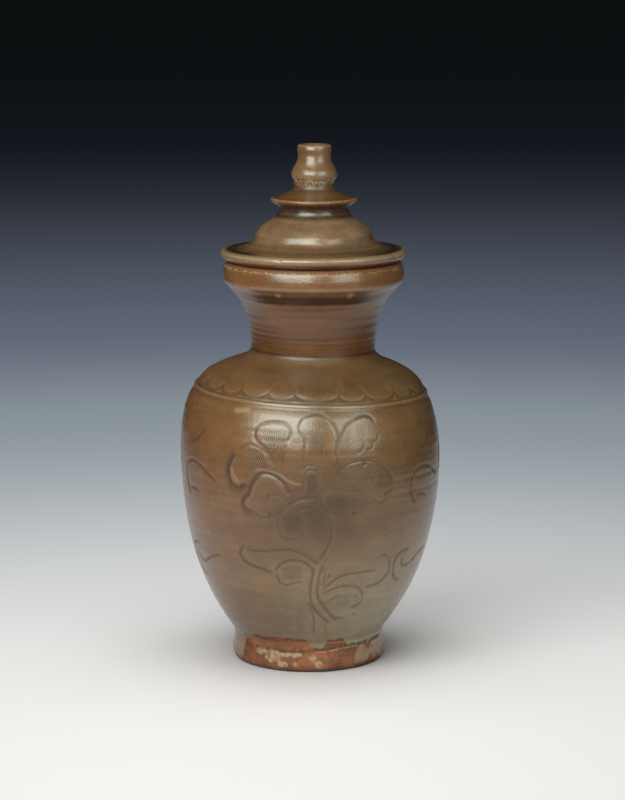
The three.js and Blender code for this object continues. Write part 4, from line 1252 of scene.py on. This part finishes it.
bodyGlaze = glazeMaterial("bodyGlaze", {
    # The paler lower right of the body is painted light
    "low": (88, 70, 47), "lowRightSheen": (126, 112, 88), "high": (99, 71, 47), "between": (0.035, 0.092),
    "warm": (112, 70, 44), "pooledAndShaded": (46, 27, 14), "thinnedAndGlint": (136, 108, 80),
    "streaks": 0.36, "leftWarm": 3.0, "bareFoot": True,
})
neckGlaze = glazeMaterial("neckGlaze", {
    "low": (90, 54, 27), "high": (112, 75, 50), "between": (0.206, 0.226),
    "warm": (98, 57, 27), "pooledAndShaded": (44, 18, 6), "thinnedAndGlint": (140, 110, 80),
    "streaks": 0.6, "leftWarm": 2.0, "poolDull": 0.1, "poolCoat": 0.1,
})
coverGlaze = glazeMaterial("coverGlaze", {
    "low": (95, 69, 48), "high": (124, 95, 73), "between": (0.24, 0.25),
    "warm": (122, 84, 60), "pooledAndShaded": (36, 22, 12), "thinnedAndGlint": (150, 126, 102),
    "streaks": 0.35, "poolDull": 0.0, "poolCoat": 0.24,
    "hatch": {"lines": 118, "slants": [3600, -3600], "from": (0.243, 0.2465), "upTo": (0.2555, 0.259)},
})
knobGlaze = glazeMaterial("knobGlaze", {
    "low": (80, 53, 30), "high": (101, 74, 52), "between": (0.270, 0.280),
    "warm": (104, 68, 43), "pooledAndShaded": (36, 22, 12), "thinnedAndGlint": (146, 118, 92), "streaks": 0.5,
})
bareClay = clayMaterial("bareClay")
print("stage: glazes and clay")


# Where the glaze stops near the foot: angle to the right, height of its edge
glazeEdge = {
    "angles": [-180, -150, -120, -90, -66, -59, -56, -46, -30, -12, -2,
               3, 11, 15, 26, 34, 55, 60, 66, 95, 130, 160],
    "heights": [14, 17, 9, 4, 3, 3.5, 16, 19, 20.2, 20.4, 20.6,
                14, 13.4, 19.6, 19.8, 14.6, 14, 13, 4, 4, 13, 18],
    "ragged": 0.9,
    "over": 1.6,          # millimetres that the glaze thins over
    "thick": 0.22,
    "patches": [(46, 7.4, 8.5, 5.2), (60, 9, 5, 5)],     # angle, height, half sizes
    "patchSeed": 200,
    "patchRagged": 0.16,
    "patchEdge": (1.25, 0.5),     # where a patch ends and over how much, in its own half sizes
    "edgeWaves": (31, 40),        # seed, and most waves round
    "creaseWaves": (37, 30),
    "creaseStray": 0.25,
    "creaseGaps": (39, 60),
    "creaseFilled": 0.8,
    "creaseFade": 8,
    "crease": ([-180, -75, -32, -10, 5, 30, 75, 180], [13.6, 13.4, 12.8, 11.9, 13.2, 14.6, 14.6, 13.6]),
    "creaseSpread": 1.05,
    "creaseReach": (-58, 76),     # degrees between which dark glaze and painted shade lie in it
    "creasePoolAndShade": 1.2,
    "creaseBroken": 0.55,         # how much of its strength it loses in the gaps
}


def footPatch(surface, patch):
    # 1 inside a rounded patch on the foot, given by angle, height and its half width and height
    angle, height, wide, high = patch
    away = np.hypot((surface["degrees"] - angle) / wide, (surface["height"] - height) / high)
    ragged = ripples(int(angle) + glazeEdge["patchSeed"], surface["theta"], surface["height"], 60, 7)
    away = away + glazeEdge["patchRagged"] * ragged
    end, over = glazeEdge["patchEdge"]
    return softStep((end - away) / over)


def glazeCover(surface):
    # 1 where glaze covers the clay and 0 where the clay is bare, softly between
    angles, heights = glazeEdge["angles"], glazeEdge["heights"]
    edge = softBetween(angles + [angles[0] + 360], heights + heights[:1], surface["degrees"])
    edge = edge + glazeEdge["ragged"] * wander(surface, *glazeEdge["edgeWaves"])
    cover = softStep((surface["height"] - edge) / glazeEdge["over"] + 0.5)
    for patch in glazeEdge["patches"]:
        cover = np.maximum(cover, footPatch(surface, patch))
    return cover


def seamLine(surface):
    # Dark glaze pooled, and painted shade, that runs round in the crease between body and foot
    low, high = glazeEdge["creaseReach"]
    degrees, fade = surface["degrees"], glazeEdge["creaseFade"]
    broken, filled = glazeEdge["creaseBroken"], glazeEdge["creaseFilled"]
    stray = glazeEdge["creaseStray"] * wander(surface, *glazeEdge["creaseWaves"])
    level = softBetween(*glazeEdge["crease"], degrees) + stray
    reach = softStep((degrees - low) / fade) * softStep((high - degrees) / fade)
    gaps = 1 - broken + broken * softStep(filled + filled * wander(surface, *glazeEdge["creaseGaps"]))
    return glazeEdge["creasePoolAndShade"] * bell(surface["height"], level, glazeEdge["creaseSpread"]) * reach * gaps


bodyPiece = {
    "columns": 600, "fine": 0.82, "coarse": 5.0, "passes": 2, "baseBelow": 20,
    "seams": [topOf("foot_ring"), topOf("vase_body")],
    "belly": round(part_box("vase_body")[1][0] / mm, 2),
    "outside": (17.5, 35.5),     # the outer wall lies above this height and outside this radius
    "skin": 0.3,
    "waves": [(5, 0.05, 1, 5.5), (6, 0.12, 5, 60)],
    "ringCrest": 160.3,
    "ringThin": (0.9, 0.4),      # spread and strength of the thin glaze on it
    "ringGrooves": [(1.5, 0.6, 1.0), (-2.6, 0.7, 0.5)],     # millimetres up from it, spread, strength
    "grooveDepth": 0.5,
    "groovePool": 0.8,
    "neckCrease": (1.6, 0.7),
    "drags": [     # pale or rusty marks where the glaze is thin: kind, start, end, width, strength
        ("thin", (-50, 154.2), (-37, 155.8), 1.2, 1.0),
        ("rust", (-71.5, 40.5), (-66, 35), 1.0, 1.0),
        ("rust", (5.8, 66), (4.2, 54), 0.7, 0.7),
        ("rust", (16.3, 28), (16.9, 18.5), 1.4, 0.9),
        ("rust", (30, 24), (31, 18.5), 2.0, 0.5),
    ],
    "dragFade": 2,
    # Painted shade: a darker patch at the front centre and a band round the top of the shoulder
    "paintedShadePatches": [(2, 102, 26, 21, 0.85), (0, 175, 75, 6, 0.5)],     # angle, height, half sizes, strength
}


def dragMark(surface, start, end, width):
    # 1 along a straight line on the unrolled belly, fading to its sides and ends
    across = surface["theta"] * bodyPiece["belly"] + 0 * surface["height"]
    up = surface["height"] + 0 * across
    side, travelled, length = pathDistance(np.linspace(start, end, 12), across.ravel(), up.ravel())
    fade = bodyPiece["dragFade"]
    line = bell(side, 0, width) * softStep(travelled / fade) * softStep((length - travelled) / fade)
    return line.reshape(across.shape)


def buildBody():
    surface = surfaceOf("vase_body", bodyPiece)
    height, marks = surface["height"], surface["marks"]
    low, inner = bodyPiece["outside"]
    outer = surface["outer"] & (height > low) & (surface["radius"] > inner)
    crestRow = int(np.argmin(np.where(outer, np.abs(height - bodyPiece["ringCrest"]), 999)))
    upWall = surface["along"] - surface["along"][crestRow]
    flowerBand(surface, bodyPiece)
    shoulderPetals(surface, np.where(outer, upWall, -99.0))

    # The raised ring, with a groove on each side, and the crease under the neck
    groove = sum(strong * bell(upWall, middle, spread) for middle, spread, strong in bodyPiece["ringGrooves"])
    surface["cut"] = np.maximum(surface["cut"], bodyPiece["grooveDepth"] * groove * outer)
    layOn(surface, "pool", bodyPiece["groovePool"] * groove * outer)
    spread, strength = bodyPiece["ringThin"]
    layOn(surface, "thin", strength * bell(upWall, 0, spread) * outer)
    spread, strength = bodyPiece["neckCrease"]
    layOn(surface, "pool", strength * bell(height, bodyPiece["seams"][1], spread) * outer)

    # Marks in the glaze, patches of painted shade, and the uneven skin
    for kind, start, end, width, strength in bodyPiece["drags"]:
        layOn(surface, kind, strength * dragMark(surface, start, end, width) * outer)
    for angle, level, wide, high, strength in bodyPiece["paintedShadePatches"]:
        away = np.hypot((surface["degrees"] - angle) / wide, (height - level) / high)
        layOn(surface, "pool", strength * bell(away, 0, 1) * outer)
    surface["cut"] += outer * skinOf(surface, bodyPiece)
    layOn(surface, "pool", seamLine(surface) * outer)
    marks["cover"] = np.where(outer, glazeCover(surface), 1)
    surface["cut"] += outer * glazeEdge["thick"] * (1 - marks["cover"])
    surface["cut"] = np.maximum(surface["cut"], 0)
    keepSeams(surface, bodyPiece["seams"])
    made = buildPiece("bodyCarved", "vase", surface, bodyGlaze)
    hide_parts("vase_body")


footPiece = {
    "columns": 400, "fine": 0.7, "coarse": 1.6, "passes": 3, "seams": [topOf("foot_ring")],
    "skin": 0.25,
    "waves": [(11, 0.12, 14, 14)],
    "creamLines": [(-44, -4, -1.3), (4, 44, -1.3)],     # from and to angle, height over the crease
    "creamSpread": 0.5,
    "creamFade": 4,           # degrees
    "creamLeast": 0.3,        # above this share no glaze lies over it
    "buffs": [(-27, 9, 7, 3.6), (-14, 10.4, 10, 1.6), (-20, 4.6, 4.6, 2.2), (8, 4.4, 4, 2.6),
              (-38, 10.6, 5, 2.4), (3, 8.6, 3, 2.6), (-60, 9, 1.2, 6.5), (46, 7.4, 7, 4)],
    "buffStrength": 0.75,
}


def buildFoot():
    surface = surfaceOf("foot_ring", footPiece)
    marks, degrees = surface["marks"], surface["degrees"]
    outer = facing(surface, 0.3)
    cover = np.where(outer, glazeCover(surface), 0)
    marks["cover"] = cover
    layOn(surface, "pool", seamLine(surface) * outer)
    crease = softBetween(*glazeEdge["crease"], degrees)
    fade = footPiece["creamFade"]
    for low, high, above in footPiece["creamLines"]:
        level = bell(surface["height"] - crease, above, footPiece["creamSpread"])
        level = level * softStep((degrees - low) / fade) * softStep((high - degrees) / fade)
        layOn(surface, "buff", level)
        marks["cover"] = np.where(level > footPiece["creamLeast"], 0, marks["cover"])
    for patch in footPiece["buffs"]:
        layOn(surface, "buff", footPiece["buffStrength"] * footPatch(surface, patch))
    skin = skinOf(surface, footPiece) - glazeEdge["thick"] * cover
    surface["cut"] += outer * np.clip(skin, 0, None)
    keepSeams(surface, footPiece["seams"] + [0])
    made = buildPiece("footRing", "vase", surface, bodyGlaze)
    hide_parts("foot_ring")


# Glaze pooled, with painted shade, where the neck turns out under the mouth: heights, and angles between
# which it weakens
pooledAndShadedBand = {
    "foot": 213.1, "head": 219.4, "sharp": 0.5, "fade": 2.6,
    "strong": 42, "weak": 78, "least": 0.35, "waves": (27, 12), "stray": 0.25,
}


def bandUnderMouth(surface):
    # painted shade with pooled glaze, strongest at the front and weaker round the sides
    least, weak = pooledAndShadedBand["least"], pooledAndShadedBand["weak"]
    drop = pooledAndShadedBand["stray"] * wander(surface, *pooledAndShadedBand["waves"])
    low = softStep((surface["height"] - pooledAndShadedBand["foot"] + drop) / pooledAndShadedBand["sharp"])
    high = softStep((pooledAndShadedBand["head"] - surface["height"] + drop) / pooledAndShadedBand["fade"])
    side = softStep((weak - np.abs(surface["degrees"])) / (weak - pooledAndShadedBand["strong"]))
    return low * high * facing(surface, 0.05) * (least + (1 - least) * side)


# The rings of each piece are radius, height, spread and strength
neckPiece = {
    "columns": 360, "fine": 0.7, "coarse": 3.0, "passes": 2, "seams": [topOf("vase_body"), topOf("neck")],
    "skin": 0.12,
    "waves": [(21, 0.06, 1, 4.0)],
    "rings": {"pool": [(36, 182, 1.5, 0.8)]},
}


def buildNeck():
    surface = surfaceOf("neck", neckPiece)
    ringMarks(surface, neckPiece)
    layOn(surface, "pool", bandUnderMouth(surface))
    thinSkin(surface, neckPiece, surface["outer"])
    keepSeams(surface, neckPiece["seams"])
    made = buildPiece("neckThrown", "vase", surface, neckGlaze)
    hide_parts("neck")


mouthPiece = {
    "columns": 400, "fine": 0.6, "coarse": 2.0, "passes": 3, "seams": [topOf("neck")],
    "skin": 0.08,
    "waves": [(23, 0.06, 1, 3.6)],
    "rings": {
        # Painted shade, with pooled glaze, in the gap under the cover's lip
        "pool": [(49, 233.5, 1.5, 1.0)],
        "thin": [(52.2, 222.4, 1.1, 0.45)],
        "rust": [(50.4, 232.8, 0.9, 0.5)],
        "crawl": [(51.3, 231.2, 0.7, 0.9)],
    },
    "lumps": [(-24, 218.6, 1.3, 0.5), (25, 218.4, 1.6, 0.45)],     # angle, height, size, how proud
    "lumpThin": 0.8,
}


def buildMouth():
    surface = surfaceOf("mouth_ring", mouthPiece)
    ringMarks(surface, mouthPiece)
    layOn(surface, "pool", bandUnderMouth(surface))
    outer = facing(surface, 0.05)
    thinSkin(surface, mouthPiece, outer)
    for angle, height, size, proud in mouthPiece["lumps"]:
        away = np.hypot(asideOf(surface, angle), surface["height"] - height)
        lump = bell(away, 0, size) * outer
        surface["cut"] -= proud * lump
        layOn(surface, "thin", mouthPiece["lumpThin"] * lump)
    keepSeams(surface, mouthPiece["seams"])
    made = buildPiece("mouthRing", "vase", surface, neckGlaze)
    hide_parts("mouth_ring")


coverPiece = {
    "columns": 420, "fine": 0.6, "coarse": 2.5, "passes": 3, "seams": [topOf("cover_shell")],
    "skin": 0.15,
    "waves": [(41, 0.12, 9, 12)],
    "lip": 50,           # the skin is uneven outside this radius
    "topside": 240,      # and on what faces up above this height
    "rings": {
        # Painted shade, with pooled glaze: on the stem under the saucer, at the dome's foot, in the dish and
        # in the gap above the rim
        "pool": [(20.2, 263, 3.6, 1.0), (21, 260, 3.0, 1.0), (36.6, 243.6, 2.2, 0.5), (42, 241.2, 4.2, 0.62),
                 (50.6, 234.2, 1.5, 1.0)],
        "thin": [(53.4, 238.8, 1.6, 0.7), (52, 240.2, 1.0, 0.5)],
        "rust": [(52.9, 236.1, 0.9, 1.0), (52.6, 240, 0.5, 0.4)],
    },
    # Painted shade in the dish, darkest at both sides
    "sideShade": (47, 240.8, 5, 1.1),     # darkest at both sides
    "sideFrom": (25, 35),                # from this angle, over this many degrees
    "chips": [     # angle, radius, height, size, depth
        (-21, 53.4, 239.2, 0.9, 0.5),
        (60, 53.4, 238.8, 1.6, 0.7),
    ],
    "chipPool": 0.6,
}


def buildCover():
    surface = surfaceOf("cover_shell", coverPiece)
    ringMarks(surface, coverPiece)
    # painted shade in the dish, darkest towards the sides as seen from the front
    start, over = coverPiece["sideFrom"]
    sideways = 90 - np.abs(np.abs(surface["degrees"]) - 90)     # degrees from the front or the back
    side = ringMark(surface, [coverPiece["sideShade"]])
    layOn(surface, "pool", side * softStep((sideways - start) / over))
    topside = (surface["height"] > coverPiece["topside"]) & (surface["normals"][:, 1:] > 0)
    thinSkin(surface, coverPiece, (surface["radius"] > coverPiece["lip"]) | topside)
    for angle, radius, height, size, depth in coverPiece["chips"]:
        away = np.hypot(surface["radius"] - radius, surface["height"] - height)
        chip = bell(np.hypot(asideOf(surface, angle), away), 0, size)
        surface["cut"] += depth * chip
        layOn(surface, "pool", coverPiece["chipPool"] * chip)
    keepSeams(surface, coverPiece["seams"])
    made = buildPiece("coverDome", "cover", surface, coverGlaze)
    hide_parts("cover_shell")


collarPiece = {
    "columns": 160, "fine": 1.0, "coarse": 1.0, "passes": 2, "fineInside": True,
    "skin": 0.05,
    "waves": [(51, 0.04, 6, 9)],
}


def buildCollar():
    surface = surfaceOf("cover_collar", collarPiece)
    surface["cut"] += skinOf(surface, collarPiece)
    keepSeams(surface, [topOf("cover_collar")])
    made = buildPiece("collarBare", "cover", surface, bareClay)
    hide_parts("cover_collar")


saucerPiece = {
    "columns": 280, "fine": 0.5, "coarse": 1.2, "passes": 2,
    "seams": [topOf("cover_shell"), topOf("finial_saucer")],
    "skin": 0.1,
    "waves": [(61, 0.08, 7, 9)],
    "rings": {
        # The first of these is painted shade, with pooled glaze, on the stem under the saucer
        "pool": [(20.4, 264.4, 2.0, 1.0), (13, 274, 2.2, 0.5)],
        "thin": [(24.4, 269.7, 0.8, 0.35)],
        "rust": [(25.1, 268.5, 1.0, 0.95)],
        "crawl": [(24.8, 269.3, 0.5, 0.8)],
    },
}


def buildSaucer():
    surface = surfaceOf("finial_saucer", saucerPiece)
    ringMarks(surface, saucerPiece)
    thinSkin(surface, saucerPiece)
    keepSeams(surface, saucerPiece["seams"])
    made = buildPiece("finialSaucer", "cover", surface, knobGlaze)
    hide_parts("finial_saucer")


knobPiece = {
    "columns": 220, "fine": 0.5, "coarse": 0.8, "passes": 2, "fineInside": True,
    "seams": [topOf("finial_saucer")],
    "skin": 0.1,
    "waves": [(71, 0.08, 5, 7)],
    "rings": {
        "pool": [(11.7, 276.6, 1.4, 0.7), (6.7, 289, 2.0, 0.8)],
        "thin": [(9.0, 299.9, 0.8, 0.5), (13.4, 283, 2.0, 0.25)],
        "rust": [(9.8, 299.2, 0.8, 0.5), (13.1, 281.6, 0.9, 0.5), (11.7, 277.4, 0.8, 0.4)],
        # The first ring is crawled glaze and painted glints on the knob's lower part
        "crawl": [(12.3, 279.4, 2.2, 0.9), (9.6, 299.6, 0.4, 0.5)],
    },
}


def buildKnob():
    surface = surfaceOf("finial_knob", knobPiece)
    ringMarks(surface, knobPiece)
    thinSkin(surface, knobPiece, facing(surface, 0.1))
    keepSeams(surface, knobPiece["seams"])
    made = buildPiece("finialKnob", "cover", surface, knobGlaze)
    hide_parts("finial_knob")


buildFoot()
buildBody()
buildNeck()
buildMouth()
buildCollar()
buildCover()
buildSaucer()
buildKnob()
